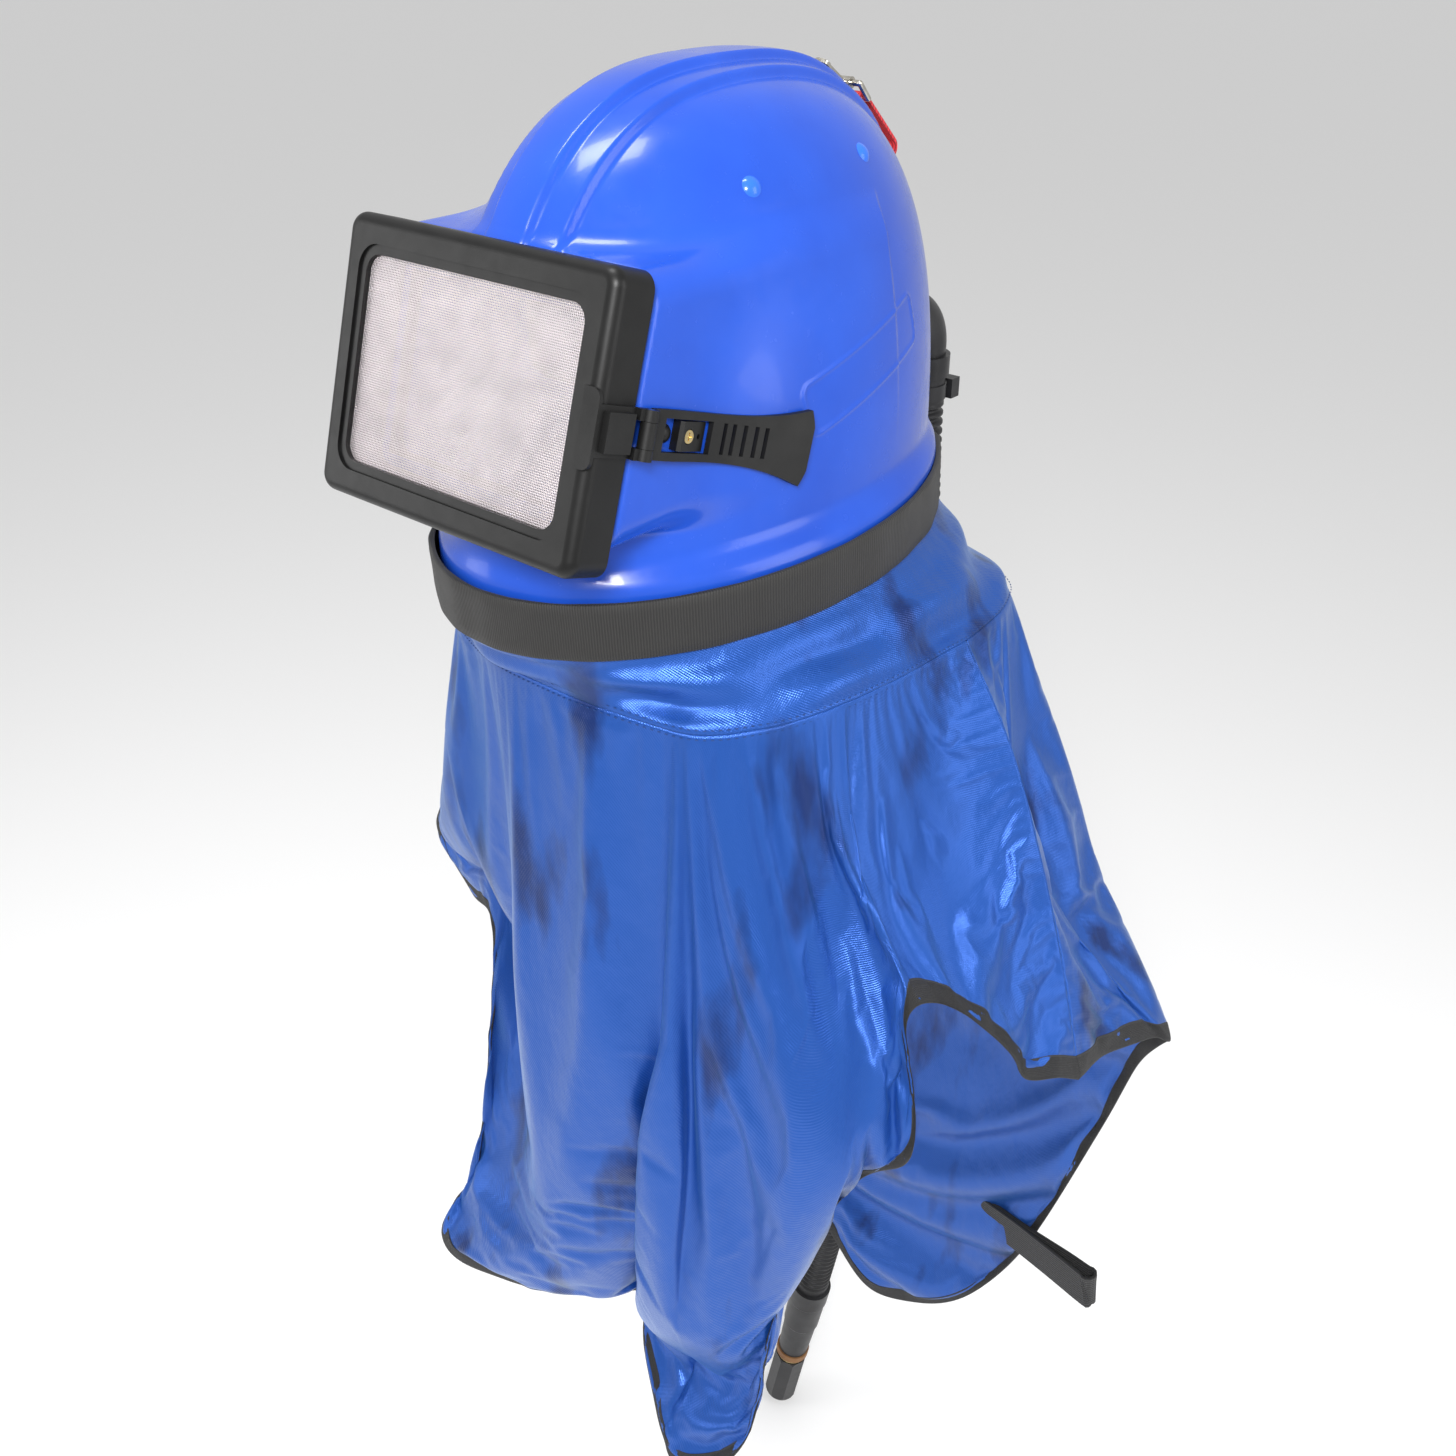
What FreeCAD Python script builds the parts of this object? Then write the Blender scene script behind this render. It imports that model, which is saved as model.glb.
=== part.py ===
"""Abrasive-blasting hood: hard shell with a hinged window, head harness, cloth cape and breathing hose.

Millimetres. The origin is the head seat, the centre of the headband. +X is the wearer's left,
-Y is the front, where the window is, and +Z is up.
"""
import FreeCAD, Part
import math
import os

V = FreeCAD.Vector
UP = V(0, 0, 1)

# Shell: a tall dome with a flared rim below it
WALL = 3.0
DOME_HALF_WIDTH = 108.0
DOME_HALF_LENGTH = 164.5
DOME_BASE_Z = -115.0
DOME_HEIGHT = 235.0
DOME_POWER = 2.8            # squareness of the dome's upright outline
CROWN_SHIFT = 10.0          # the crown lies this far behind the middle of the rim
CREST_TIERS = ((29.0, 4.5, 3.0), (13.5, 9.0, 6.0))    # half width, rise, extra half length

# Rim and the elastic band that clamps the cape to it
BAND_HALF_WIDTH = 122.0
BAND_HALF_LENGTH = 170.0
BAND_THICK = 3.0
BAND_HEIGHT = 32.0
RIM_Z = -127.0
RIM_PITCH = 3.1             # degrees, the front is lower
CLOTH = 1.1
RIM_GAP = 0.1
RIM_TAPER = (10.8, 3.8, 16.0)    # narrower, shorter, height of the slope above the band
RIM = FreeCAD.Placement(V(0, 0, RIM_Z), FreeCAD.Rotation(V(1, 0, 0), RIM_PITCH))

# Window: local X across, local Y up its face, local Z outward from its front face
FRAME_WIDTH = 184.0
FRAME_HEIGHT = 138.0
FRAME_DEPTH = 24.0
FRAME_FRONT = 4.0
SIGHT_WIDTH = 151.0
SIGHT_HEIGHT = 101.0
POCKET_WIDTH = 168.0
POCKET_HEIGHT = 118.0
WINDOW_LEAN = 17.3          # degrees, the top lies further back
WINDOW = FreeCAD.Placement(V(0, -171, -1), FreeCAD.Rotation(V(1, 0, 0), 90 - WINDOW_LEAN))
SEAT_DEPTH = 27.0           # the shell's window face lies this far behind the frame's front
BOX_HALF_WIDTH = 90.0
BOX_LOW = -67.0
BOX_HIGH = 56.0
BOX_CORNER = 16.0
LOOKOUT_WIDTH = 150.0
LOOKOUT_HEIGHT = 92.0

# Window hinge, on the wearer's right, and latch, on the left
HINGE_X = -98.0
HINGE_DEPTH = 26.0
HINGE_RADIUS = 5.0
HINGE_PIN_RADIUS = 2.0
HINGE_SPLIT = 10.0
HINGE_REACH = 28.0
PIN_CLEARANCE = 0.05
LATCH_X = 97.5
LATCH_DEPTH = 29.0
LATCH_PIN_RADIUS = 1.5
STRAP_THICK = 3.0
CATCH_FRONT = 54.0
CATCH_REAR = 75.0

# Head harness
HEAD_HALF_WIDTH = 79.0
HEAD_HALF_LENGTH = 98.0
HEADBAND_HEIGHT = 34.0
HEADBAND_THICK = 2.2
RIVET_PLACES = ((72, -41), (-72, -41), (72, 47), (-72, 47))

# Hanger on the back of the crest: plate, ring and webbing loop
HANG_Y = 108.0
HANG_SLOPE = 33.0
HANG_DROOP = 13.0           # the ring and loop hang this much steeper than the plate
KNUCKLE = (14.5, 3.4)       # the ring's pivot, behind and above the plate's middle

# Air inlet and hose
INLET_X = 12.0
INLET_Z = -36.0
INLET_INNER_Y = 140.0
HOSE_Y = 206.0
SPIGOT_RADIUS = 15.0
SPIGOT_BORE = 11.0
ELBOW_BEND = 25.0
HOSE_RADIUS = 16.0
HOSE_BORE = 12.0
THREAD_RADIUS = 13.2        # G 3/4 internal thread at the hose's lower end
NIPPLE_RADIUS = 10.0
HOSE_ROUTE = (
    (12, 206, -80), (12, 206, -150), (26, 208, -280), (23, 209, -440), (10, 209, -610),
    (-8, 207, -780), (-30, 205, -925), (-46, 205, -1011),
)

# Cape
CAPE_THICK = 2.0
SEAM_DROP = 50.0            # the yoke seam lies this far below the band
SEAM_HALF_WIDTH = 140.0
SEAM_FRONT = -144.0
SEAM_BACK = 176.0
CAPE_LEVELS = (             # height, half width, front, back
    (-275.0, 200.0, -152.0, 178.0),
    (-375.0, 243.0, -154.0, 179.0),
    (-475.0, 266.0, -153.0, 180.0),
    (-630.0, 271.0, -148.0, 181.0),
    (-790.0, 272.0, -142.0, 182.0),
    (-940.0, 272.0, -138.0, 182.0),
)
SEAM_POWER = 2.1            # squareness of the cape's outline at the yoke seam and below it
CAPE_POWER = 2.4
BINDING = 16.0
STRAP_START = (144.0, 155.0, -744.0)    # sewn end of the elastic loop under the arm
FRONT_HEM = (               # from the middle out to the wearer's left: x, z
    (0, -765), (95, -765), (158, -690), (190, -560),
    (203, -440), (222, -378), (248, -410), (290, -440),
)
BACK_HEM = ((0, -922), (90, -900), (175, -790), (232, -620), (262, -505), (300, -460))


# ---- helpers -------------------------------------------------------------------------------------

def box(low, high):
    """Block between two corners."""
    size = V(*high) - V(*low)
    return Part.makeBox(size.x, size.y, size.z, V(*low))


def rod(radius, start, end):
    """Cylinder between two points."""
    way = V(*end) - V(*start)
    return Part.makeCylinder(radius, way.Length, V(*start), way)


def pipe(outer, inner, start, end):
    return rod(outer, start, end).cut(rod(inner, start, end))


def fused(shapes):
    """One solid out of several that touch or overlap."""
    whole = shapes[0]
    for shape in shapes[1:]:
        whole = whole.fuse(shape)
    return whole.removeSplitter()


def oval(half_width, half_length, z):
    """Ellipse longer in Y than in X, as a wire."""
    curve = Part.Ellipse(V(0, half_length, z), V(half_width, 0, z), V(0, 0, z))
    return Part.Wire([curve.toShape()])


def oval_disc(half_width, half_length, low, high):
    return Part.Face(oval(half_width, half_length, low)).extrude(V(0, 0, high - low))


def oval_ring(half_width, half_length, thick, low, high):
    outside = oval_disc(half_width, half_length, low, high)
    return outside.cut(oval_disc(half_width - thick, half_length - thick, low, high))


def plate(width, height, near, far, corner, middle=(0, 0)):
    """Rounded rectangle in local X and Y, between two local depths."""
    x, y = width / 2, height / 2
    block = Part.makeBox(width, height, far - near, V(middle[0] - x, middle[1] - y, near))
    upright = [edge for edge in block.Edges if abs(edge.tangentAt(edge.FirstParameter).z) > 0.99]
    return block.makeFillet(corner, upright)


def plate_ring(outside, opening, near, far, corner, opening_corner):
    return plate(*outside, near, far, corner).cut(plate(*opening, near, far, opening_corner))


def spline(points):
    curve = Part.BSplineCurve()
    curve.interpolate(Points=[V(*point) for point in points])
    return curve.toShape()


def shifted(points, distance):
    """A row of flat (u, v) points moved sideways, to the left of its direction."""
    moved = []
    for i, (u, v) in enumerate(points):
        before = points[max(i - 1, 0)]
        after = points[min(i + 1, len(points) - 1)]
        du, dv = after[0] - before[0], after[1] - before[1]
        length = math.hypot(du, dv)
        moved.append((u - dv / length * distance, v + du / length * distance))
    return moved


def turned(profile, start, direction):
    """Solid turned from (radius, height) points, with its axis from start along direction."""
    face = Part.Face(Part.makePolygon([V(r, 0, h) for r, h in profile + profile[:1]]))
    solid = face.revolve(V(0, 0, 0), UP, 360)
    solid.Placement = FreeCAD.Placement(V(*start), FreeCAD.Rotation(UP, V(*direction)))
    return solid


def at_window(shape):
    placed = shape.copy()
    placed.Placement = WINDOW.multiply(placed.Placement)
    return placed


def at_rim(shape):
    placed = shape.copy()
    placed.Placement = RIM.multiply(placed.Placement)
    return placed


# ---- shell ---------------------------------------------------------------------------------------

def dome(side=0.0, rise=0.0, stretch=None):
    """Solid dome: a squared profile turned about Z, stretched lengthwise, its crown moved back."""
    half_width = DOME_HALF_WIDTH + side
    half_length = DOME_HALF_LENGTH + (side if stretch is None else stretch)
    height = DOME_HEIGHT + rise
    steps = 14
    profile = []
    for i in range(steps + 1):
        angle = math.radians(90 * i / steps)
        across = max(math.cos(angle), 0) ** (2 / DOME_POWER)
        profile.append(V(half_width * across, 0, height * math.sin(angle) ** (2 / DOME_POWER)))
    profile[-1] = V(0, 0, height)
    curve = Part.BSplineCurve()
    curve.interpolate(Points=profile, InitialTangent=UP, FinalTangent=V(-1, 0, 0))
    axis = Part.makeLine(V(0, 0, height), V(0, 0, 0))
    base = Part.makeLine(V(0, 0, 0), profile[0])
    solid = Part.Face(Part.Wire([curve.toShape(), axis, base])).revolve(V(0, 0, 0), UP, 360)
    form = FreeCAD.Matrix()
    form.A22 = half_length / half_width
    form.A23 = CROWN_SHIFT / DOME_HEIGHT
    form.A34 = DOME_BASE_Z
    return solid.transformGeometry(form)


def dome_level(x, y, rise=0.0, stretch=0.0):
    """Height of the dome, or of a crest tier on it, above a point of its plan, found by halving."""
    half_length = DOME_HALF_LENGTH + stretch
    low, high = 0.0, 1.0
    for _ in range(40):
        t = (low + high) / 2
        shrink = (1 - t ** DOME_POWER) ** (1 / DOME_POWER)
        reach = math.hypot(x / DOME_HALF_WIDTH, (y - CROWN_SHIFT * t) / half_length)
        if reach < shrink:
            low = t
        else:
            high = t
    return DOME_BASE_Z + (DOME_HEIGHT + rise) * low


def dome_normal(x, y):
    """Outward direction of the dome's surface above a point of its plan."""
    step = 0.5
    slope_x = (dome_level(x + step, y) - dome_level(x - step, y)) / (2 * step)
    slope_y = (dome_level(x, y + step) - dome_level(x, y - step)) / (2 * step)
    normal = V(-slope_x, -slope_y, 1)
    normal.normalize()
    return normal


def rim_wall(side, low):
    """Solid inside the rim's straight wall and the slope above it."""
    half_width = BAND_HALF_WIDTH - BAND_THICK - CLOTH - RIM_GAP + side
    half_length = BAND_HALF_LENGTH - BAND_THICK - CLOTH - RIM_GAP + side
    top = BAND_HEIGHT + 2
    straight = oval_disc(half_width, half_length, low, top)
    narrower, shorter, height = RIM_TAPER
    ends = [oval(half_width, half_length, top)]
    ends.append(oval(half_width - narrower, half_length - shorter, top + height))
    return at_rim(fused([straight, Part.makeLoft(ends, True, True)]))


def window_box(side, depth):
    """Solid block that carries the window, running back into the dome."""
    width = 2 * (BOX_HALF_WIDTH + side)
    height = BOX_HIGH - BOX_LOW + 2 * side
    block = plate(width, height, 0, 160, BOX_CORNER + side, (0, (BOX_HIGH + BOX_LOW) / 2))
    block.Placement = FreeCAD.Placement(V(0, -40, 0), FreeCAD.Rotation(V(1, 0, 0), 90))
    return block.cut(at_window(box((-130, -110, -depth), (130, 130, 80))))


def window_clearance(margin, depth):
    """Everything in front of the shell's window face."""
    return at_window(box((-100 - margin, -66 - margin, -depth), (100 + margin, 71 + margin, 60)))


def crest_tier(half_width, rise, longer):
    """One raised step of the crest that runs over the crown from front to back."""
    slab = box((-half_width, -200, 0), (half_width, 200, 200))
    return dome(rise, rise, longer).common(slab)


def inlet_start():
    return V(INLET_X, INLET_INNER_Y, INLET_Z)


def shell():
    tiers = [crest_tier(*tier) for tier in CREST_TIERS]
    outside = fused([dome(), rim_wall(0, 1.5), window_box(0, SEAT_DEPTH)] + tiers)
    outside = outside.cut(window_clearance(0, SEAT_DEPTH))
    inside = fused([dome(-WALL, -WALL), rim_wall(-WALL, -4), window_box(-WALL, SEAT_DEPTH + WALL)])
    inside = inside.cut(window_clearance(WALL, SEAT_DEPTH + WALL))
    body = outside.cut(inside)
    lookout = plate(LOOKOUT_WIDTH, LOOKOUT_HEIGHT, -SEAT_DEPTH - WALL - 1, -SEAT_DEPTH + 1, 8)
    body = body.cut(at_window(lookout))
    body = body.cut(rod(SPIGOT_RADIUS, (INLET_X, 140, INLET_Z), (INLET_X, 190, INLET_Z)))
    fixings = [hinge_screws(), latch_screw(), latch_stud(), hang_bolt(), lens_screws()]
    for tool in suspension_rivets() + fixings:
        body = body.cut(tool)
    return body


def rim_band():
    """Elastic band that grips the cape onto the rim."""
    return at_rim(oval_ring(BAND_HALF_WIDTH, BAND_HALF_LENGTH, BAND_THICK, 0, BAND_HEIGHT))


# ---- window --------------------------------------------------------------------------------------

def window_frame():
    """Deep moulded frame, open at the back, with two hinge knuckles."""
    body = plate(FRAME_WIDTH, FRAME_HEIGHT, -FRAME_DEPTH, 0, 9)
    front = [edge for edge in body.Edges if edge.BoundBox.ZMin > -0.01]
    body = body.makeFillet(6, front)
    body = body.cut(plate(POCKET_WIDTH, POCKET_HEIGHT, -FRAME_DEPTH, -FRAME_FRONT, 5))
    body = body.cut(plate(SIGHT_WIDTH, SIGHT_HEIGHT, -FRAME_FRONT, 0, 9))
    body = body.cut(plate(SIGHT_WIDTH + 9, SIGHT_HEIGHT + 9, -1.4, 0, 12))
    bore = HINGE_PIN_RADIUS + PIN_CLEARANCE
    for low, high in ((-HINGE_REACH, -HINGE_SPLIT - 0.4), (HINGE_SPLIT + 0.4, HINGE_REACH)):
        web = box((HINGE_X, low, -HINGE_DEPTH), (-FRAME_WIDTH / 2 + 1, high, -HINGE_DEPTH + 12))
        knuckle = web.fuse(rod(HINGE_RADIUS, (HINGE_X, low, -HINGE_DEPTH), (HINGE_X, high, -HINGE_DEPTH)))
        body = body.fuse(knuckle)
        body = body.cut(rod(bore, (HINGE_X, low, -HINGE_DEPTH), (HINGE_X, high, -HINGE_DEPTH)))
    return at_window(body.removeSplitter())


def mesh_screen():
    return at_window(plate(POCKET_WIDTH - 2, POCKET_HEIGHT - 2, -4.9, -4.1, 4))


def lens_gasket():
    return at_window(plate_ring((POCKET_WIDTH - 2, POCKET_HEIGHT - 2), (152, 102), -7, -5, 4, 8))


def outer_lens():
    return at_window(plate(POCKET_WIDTH - 3, POCKET_HEIGHT - 3, -9, -7.1, 4))


def lens_retainer():
    """Snap-in ring that holds the screen, gasket and outer lens in the frame."""
    outside = (POCKET_WIDTH - 0.6, POCKET_HEIGHT - 0.6)
    return at_window(plate_ring(outside, (154, 104), -FRAME_DEPTH, -9.1, 4.7, 8))


def window_gasket():
    """Foam ring on the shell's window face, which the closed frame presses on."""
    return at_window(plate_ring((166, 116), (154, 104), -SEAT_DEPTH, -FRAME_DEPTH - 0.2, 6, 8))


def inner_seal():
    near = -SEAT_DEPTH - WALL
    return at_window(plate_ring((162, 104), (150, 92), near - 3, near, 6, 8))


def inner_lens():
    near = -SEAT_DEPTH - WALL - 3
    return at_window(plate(158, 100, near - 2.4, near, 5))


def inner_lens_frame():
    near = -SEAT_DEPTH - WALL - 5.4
    ring = plate_ring((172, 102), (148, 90), near - 3, near, 6, 8)
    return at_window(ring).cut(lens_screws())


def lens_screws():
    """Four screws that hold the inner lens frame to posts of the shell's window face."""
    screws = []
    for x in (-83, 83):
        for y in (-30, 30):
            back = -SEAT_DEPTH - WALL - 8.4
            head = rod(2.6, (x, y, back - 1.6), (x, y, back))
            screws.append(head.fuse(rod(1.3, (x, y, back), (x, y, -SEAT_DEPTH - 0.6))))
    return at_window(Part.makeCompound(screws))


def lens_posts():
    """Spacers on the four screws, between the shell and the inner lens frame."""
    posts = []
    for x in (-83, 83):
        for y in (-30, 30):
            near = -SEAT_DEPTH - WALL
            posts.append(pipe(1.9, 1.3, (x, y, near - 5.4), (x, y, near)))
    return at_window(Part.makeCompound(posts))


def hinge_bracket():
    """Leaf screwed to the side of the window box, with the middle knuckle."""
    top = HINGE_SPLIT
    leaf = box((-94, -42, -52), (-BOX_HALF_WIDTH, 42, -33))
    tongue = box((-94, -top, -33), (-BOX_HALF_WIDTH, top, -HINGE_DEPTH - 1))
    link = box((HINGE_X, -top, -33), (-93, top, -HINGE_DEPTH - 1))
    knuckle = rod(HINGE_RADIUS, (HINGE_X, -top, -HINGE_DEPTH), (HINGE_X, top, -HINGE_DEPTH))
    body = fused([leaf, tongue, link, knuckle])
    body = body.cut(rod(HINGE_PIN_RADIUS, (HINGE_X, -top, -HINGE_DEPTH), (HINGE_X, top, -HINGE_DEPTH)))
    return at_window(body).cut(hinge_screws())


def hinge_pin():
    """Pin through all three knuckles, pressed into the middle one, with a head at its top."""
    x, z, top = HINGE_X, -HINGE_DEPTH, HINGE_REACH + 0.3
    shank = rod(HINGE_PIN_RADIUS, (x, -HINGE_REACH, z), (x, top, z))
    return at_window(shank.fuse(rod(3.4, (x, top, z), (x, top + 2, z))))


def hinge_screws():
    screws = []
    for y in (-30, 30):
        head = rod(3.2, (-95.6, y, -43), (-94, y, -43))
        screws.append(head.fuse(rod(1.8, (-94, y, -43), (-BOX_HALF_WIDTH + WALL + 2, y, -43))))
    return at_window(Part.makeCompound(screws))


def latch_anchor():
    """Rubber latch's fixed end: wraps over the frame's front edge and carries the latch pin."""
    side = FRAME_WIDTH / 2
    cheek = box((side, -11.5, -FRAME_DEPTH + 1), (side + 3, 11.5, 2.2))
    wrap = box((side - 7, -18, 0.2), (side + 3, 18, 2.2)).common(plate(190, 36, 0.2, 2.2, 5))
    lug = box((side + 3, -9, -19), (side + 6.5, 9, -2))
    ears = []
    for low, high in ((-11.5, -6.2), (6.2, 11.5)):
        ears.append(rod(4, (LATCH_X, low, -LATCH_DEPTH), (LATCH_X, high, -LATCH_DEPTH)))
        ears.append(box((side + 1.6, low, -LATCH_DEPTH), (side + 6, high, -FRAME_DEPTH + 2)))
    body = fused([cheek, wrap, lug] + ears)
    bore = rod(LATCH_PIN_RADIUS, (LATCH_X, -12, -LATCH_DEPTH), (LATCH_X, 12, -LATCH_DEPTH))
    corner = plate(FRAME_WIDTH + 0.1, FRAME_HEIGHT, -FRAME_DEPTH - 1, 0.1, 9)
    return at_window(body.cut(bore).cut(corner))


def latch_pin():
    return at_window(rod(LATCH_PIN_RADIUS, (LATCH_X, -11.5, -LATCH_DEPTH), (LATCH_X, 11.5, -LATCH_DEPTH)))


def latch_strap():
    """Pull strap: knuckle at the frame, hole for the catch, slotted and flared finger end."""
    inner = [(92, -35), (92, -60), (92.2, -84), (97.5, -112), (106, -140)]
    outer = shifted(inner, STRAP_THICK)
    sides = [spline([(x, 0, z) for x, z in row]) for row in (inner, outer)]
    ends = [Part.makeLine(V(inner[i][0], 0, inner[i][1]), V(outer[i][0], 0, outer[i][1])) for i in (0, -1)]
    web = Part.Face(Part.Wire([sides[0], ends[1], sides[1], ends[0]])).extrude(V(0, 46, 0))
    web.translate(V(0, -23, 0))
    half = [(11.5, -35), (11.5, -80), (12.5, -104), (19, -136)]
    tip = Part.Arc(V(0, 19, -136), V(0, 0, -140.5), V(0, -19, -136)).toShape()
    edges = [spline([(0, y, z) for y, z in half]), tip, spline([(0, -y, z) for y, z in reversed(half)])]
    edges.append(Part.makeLine(V(0, -11.5, -35), V(0, 11.5, -35)))
    outline = Part.Face(Part.Wire(edges)).extrude(V(60, 0, 0))
    outline.translate(V(80, 0, 0))
    body = web.common(outline)
    body = body.cut(box((80, -7.8, -77.2), (130, 7.8, -43)))
    for z in (-86, -92, -99, -106, -112):
        body = body.cut(box((80, -7.5, z - 1.2), (130, 7.5, z + 1.2)))
    knuckle = rod(4, (LATCH_X, -6, -LATCH_DEPTH), (LATCH_X, 6, -LATCH_DEPTH))
    neck = box((92.6, -6, -38), (96.4, 6, -LATCH_DEPTH))
    body = fused([body, knuckle, neck])
    bore = LATCH_PIN_RADIUS + PIN_CLEARANCE
    return at_window(body.cut(rod(bore, (LATCH_X, -6, -LATCH_DEPTH), (LATCH_X, 6, -LATCH_DEPTH))))


def latch_catch():
    """Raised catch in the strap's hole. Its back slopes, so that the strap's end can slide over it."""
    x = BOX_HALF_WIDTH
    side = [V(x, -7, -CATCH_REAR), V(x + 1.9, -7, -CATCH_REAR), V(x + 5.9, -7, -CATCH_FRONT - 1.5)]
    side += [V(x + 4.4, -7, -CATCH_FRONT), V(x, -7, -CATCH_FRONT)]
    body = Part.Face(Part.makePolygon(side + side[:1])).extrude(V(0, 14, 0))
    body = body.cut(rod(1.3, (x + 1.2, 0, -70), (x + 9, 0, -70)))
    body = body.cut(rod(3.6, (x + 3.2, 0, -61), (x + 9, 0, -61)))
    return at_window(body).cut(latch_screw())


def latch_screw():
    x = BOX_HALF_WIDTH
    head = rod(3.2, (x + 3.2, 0, -61), (x + 4.9, 0, -61))
    slot = box((x + 4.1, -2, -61.4), (x + 6, 2, -60.6)).fuse(box((x + 4.1, -0.4, -63), (x + 6, 0.4, -59)))
    return at_window(head.fuse(rod(1.8, (x - WALL - 6, 0, -61), (x + 3.2, 0, -61))).cut(slot))


def latch_nut():
    x = BOX_HALF_WIDTH - WALL
    turns = [math.radians(60 * i) for i in range(7)]
    corners = [V(x, 4 * math.cos(turn), 4 * math.sin(turn) - 61) for turn in turns]
    nut = Part.Face(Part.makePolygon(corners)).extrude(V(-3, 0, 0))
    return at_window(nut.cut(rod(1.8, (x - 4, 0, -61), (x + 1, 0, -61))))


def latch_stud():
    """Round black stud on the shell, just in front of the catch."""
    x = BOX_HALF_WIDTH
    ball = Part.makeSphere(5.5, V(x - 3, 0, -48.5)).common(box((x, -6, -55), (x + 6, 6, -42)))
    return at_window(ball.fuse(rod(1.6, (x - WALL, 0, -48.5), (x, 0, -48.5))))


# ---- head harness --------------------------------------------------------------------------------

def suspension_rivets():
    """Four long rivets: domed heads outside, shanks through the shell to the crown straps."""
    rivets = []
    for x, y in RIVET_PLACES:
        normal = dome_normal(x, y)
        seat = V(x, y, dome_level(x, y)) - normal * 0.4
        head = Part.makeSphere(7.3, seat - normal * 4.8).common(Part.makeCylinder(5.5, 4, seat, normal))
        shank = Part.makeCylinder(2.5, 15, seat, normal * -1)
        washer = Part.makeCylinder(5, 1.2, seat - normal * 13.8, normal * -1)
        rivets.append(fused([head, shank, washer]))
    return rivets


def crown_strap(start, stacked):
    """Webbing strap over the head, in the upright plane through two opposite rivets."""
    x, y = start
    middle = V(0, (RIVET_PLACES[0][1] + RIVET_PLACES[2][1]) / 2, 0)
    way = V(x, y, 0) - middle
    way.normalize()
    across = way.cross(UP)
    rise = 2.0 if stacked else 0.0
    half = [(86.5, -8), (86.5, 34), (75, 69.5), (42, 85 + rise)]
    path = half + [(0, 89 + rise)] + [(-u, v) for u, v in reversed(half)]
    rows = [path, shifted(path, -1.5)]
    curves = [spline([middle + way * u + UP * v for u, v in row]) for row in rows]
    ends = []
    for i in (0, -1):
        ends.append(Part.makeLine(*[middle + way * row[i][0] + UP * row[i][1] for row in rows]))
    band = Part.Face(Part.Wire([curves[0], ends[1], curves[1], ends[0]])).extrude(across * 18)
    band.translate(across * -9)
    for tool in suspension_rivets() + headband_buttons():
        band = band.cut(tool)
    return band


def headband():
    low = -HEADBAND_HEIGHT / 2
    ring = oval_ring(HEAD_HALF_WIDTH, HEAD_HALF_LENGTH, HEADBAND_THICK, low, -low)
    for tool in headband_buttons():
        ring = ring.cut(tool)
    return ring


def headband_buttons():
    """Four buttons that join the crown straps to the headband."""
    buttons = []
    middle = V(0, (RIVET_PLACES[0][1] + RIVET_PLACES[2][1]) / 2, 0)
    for x, y in RIVET_PLACES:
        way = V(x, y, 0) - middle
        way.normalize()
        start = middle + way * 76.0
        shank = Part.makeCylinder(2.2, 12, start, way)
        head = Part.makeCylinder(4.5, 1.5, start + way * 12, way)
        buttons.append(shank.fuse(head))
    return buttons


def brow_pad():
    """Soft sweatband inside the front of the headband."""
    inset = HEADBAND_THICK + 0.3
    ring = oval_ring(HEAD_HALF_WIDTH - inset, HEAD_HALF_LENGTH - inset, 5, -15, 15)
    return ring.common(box((-90, -120, -20), (90, -48, 20)))


def ratchet_housing():
    """Housing at the nape, shaped to the back of the headband."""
    body = plate(54, 30, 0, 22, 10)
    body.Placement = FreeCAD.Placement(V(0, HEAD_HALF_LENGTH + 14, 0), FreeCAD.Rotation(V(1, 0, 0), 90))
    body = body.cut(oval_disc(HEAD_HALF_WIDTH + 0.1, HEAD_HALF_LENGTH + 0.1, -20, 20))
    y = HEAD_HALF_LENGTH + 14
    return body.cut(rod(4 + PIN_CLEARANCE, (0, y - 9, 0), (0, y, 0)))


def ratchet_knob():
    """Ribbed knob that winds the headband in and out, with its shaft."""
    y = HEAD_HALF_LENGTH + 14.4
    body = rod(17, (0, y, 0), (0, y + 11, 0))
    body = body.makeFillet(2, [edge for edge in body.Edges if edge.BoundBox.YMin > y + 10.9])
    ribs = 20
    for i in range(ribs):
        angle = 2 * math.pi * i / ribs
        x, z = 17.6 * math.cos(angle), 17.6 * math.sin(angle)
        body = body.cut(rod(1.5, (x, y - 1, z), (x, y + 12, z)))
    return body.fuse(rod(4, (0, y - 8, 0), (0, y, 0)))


# ---- hanging loop --------------------------------------------------------------------------------

def at_hang(shape, droop=0.0):
    """Place a piece of the hanger on the back slope of the crest, turned down about the ring's pivot."""
    _, rise, stretch = CREST_TIERS[1]
    seat = V(0, HANG_Y, dome_level(0, HANG_Y, rise, stretch) + 0.4)
    slope = FreeCAD.Placement(seat, FreeCAD.Rotation(V(1, 0, 0), -HANG_SLOPE))
    turn = FreeCAD.Rotation(V(1, 0, 0), -droop)
    pivot = V(0, *KNUCKLE)
    placed = shape.copy()
    placed.Placement = slope.multiply(FreeCAD.Placement(V(0, 0, 0), turn, pivot)).multiply(placed.Placement)
    return placed


def hang_bracket():
    """Nickel plate bolted on the back of the crest, with a rolled end for the ring."""
    y, z = KNUCKLE
    base = plate(17, 26, 0, 1.6, 3, (0, -1))
    roll = rod(3.2, (-8.5, y, z), (8.5, y, z))
    step = box((-8.5, y - 3, 0), (8.5, y, z))
    body = fused([base, roll, step]).cut(rod(1.75, (-9, y, z), (9, y, z)))
    return at_hang(body).cut(hang_bolt())


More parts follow.
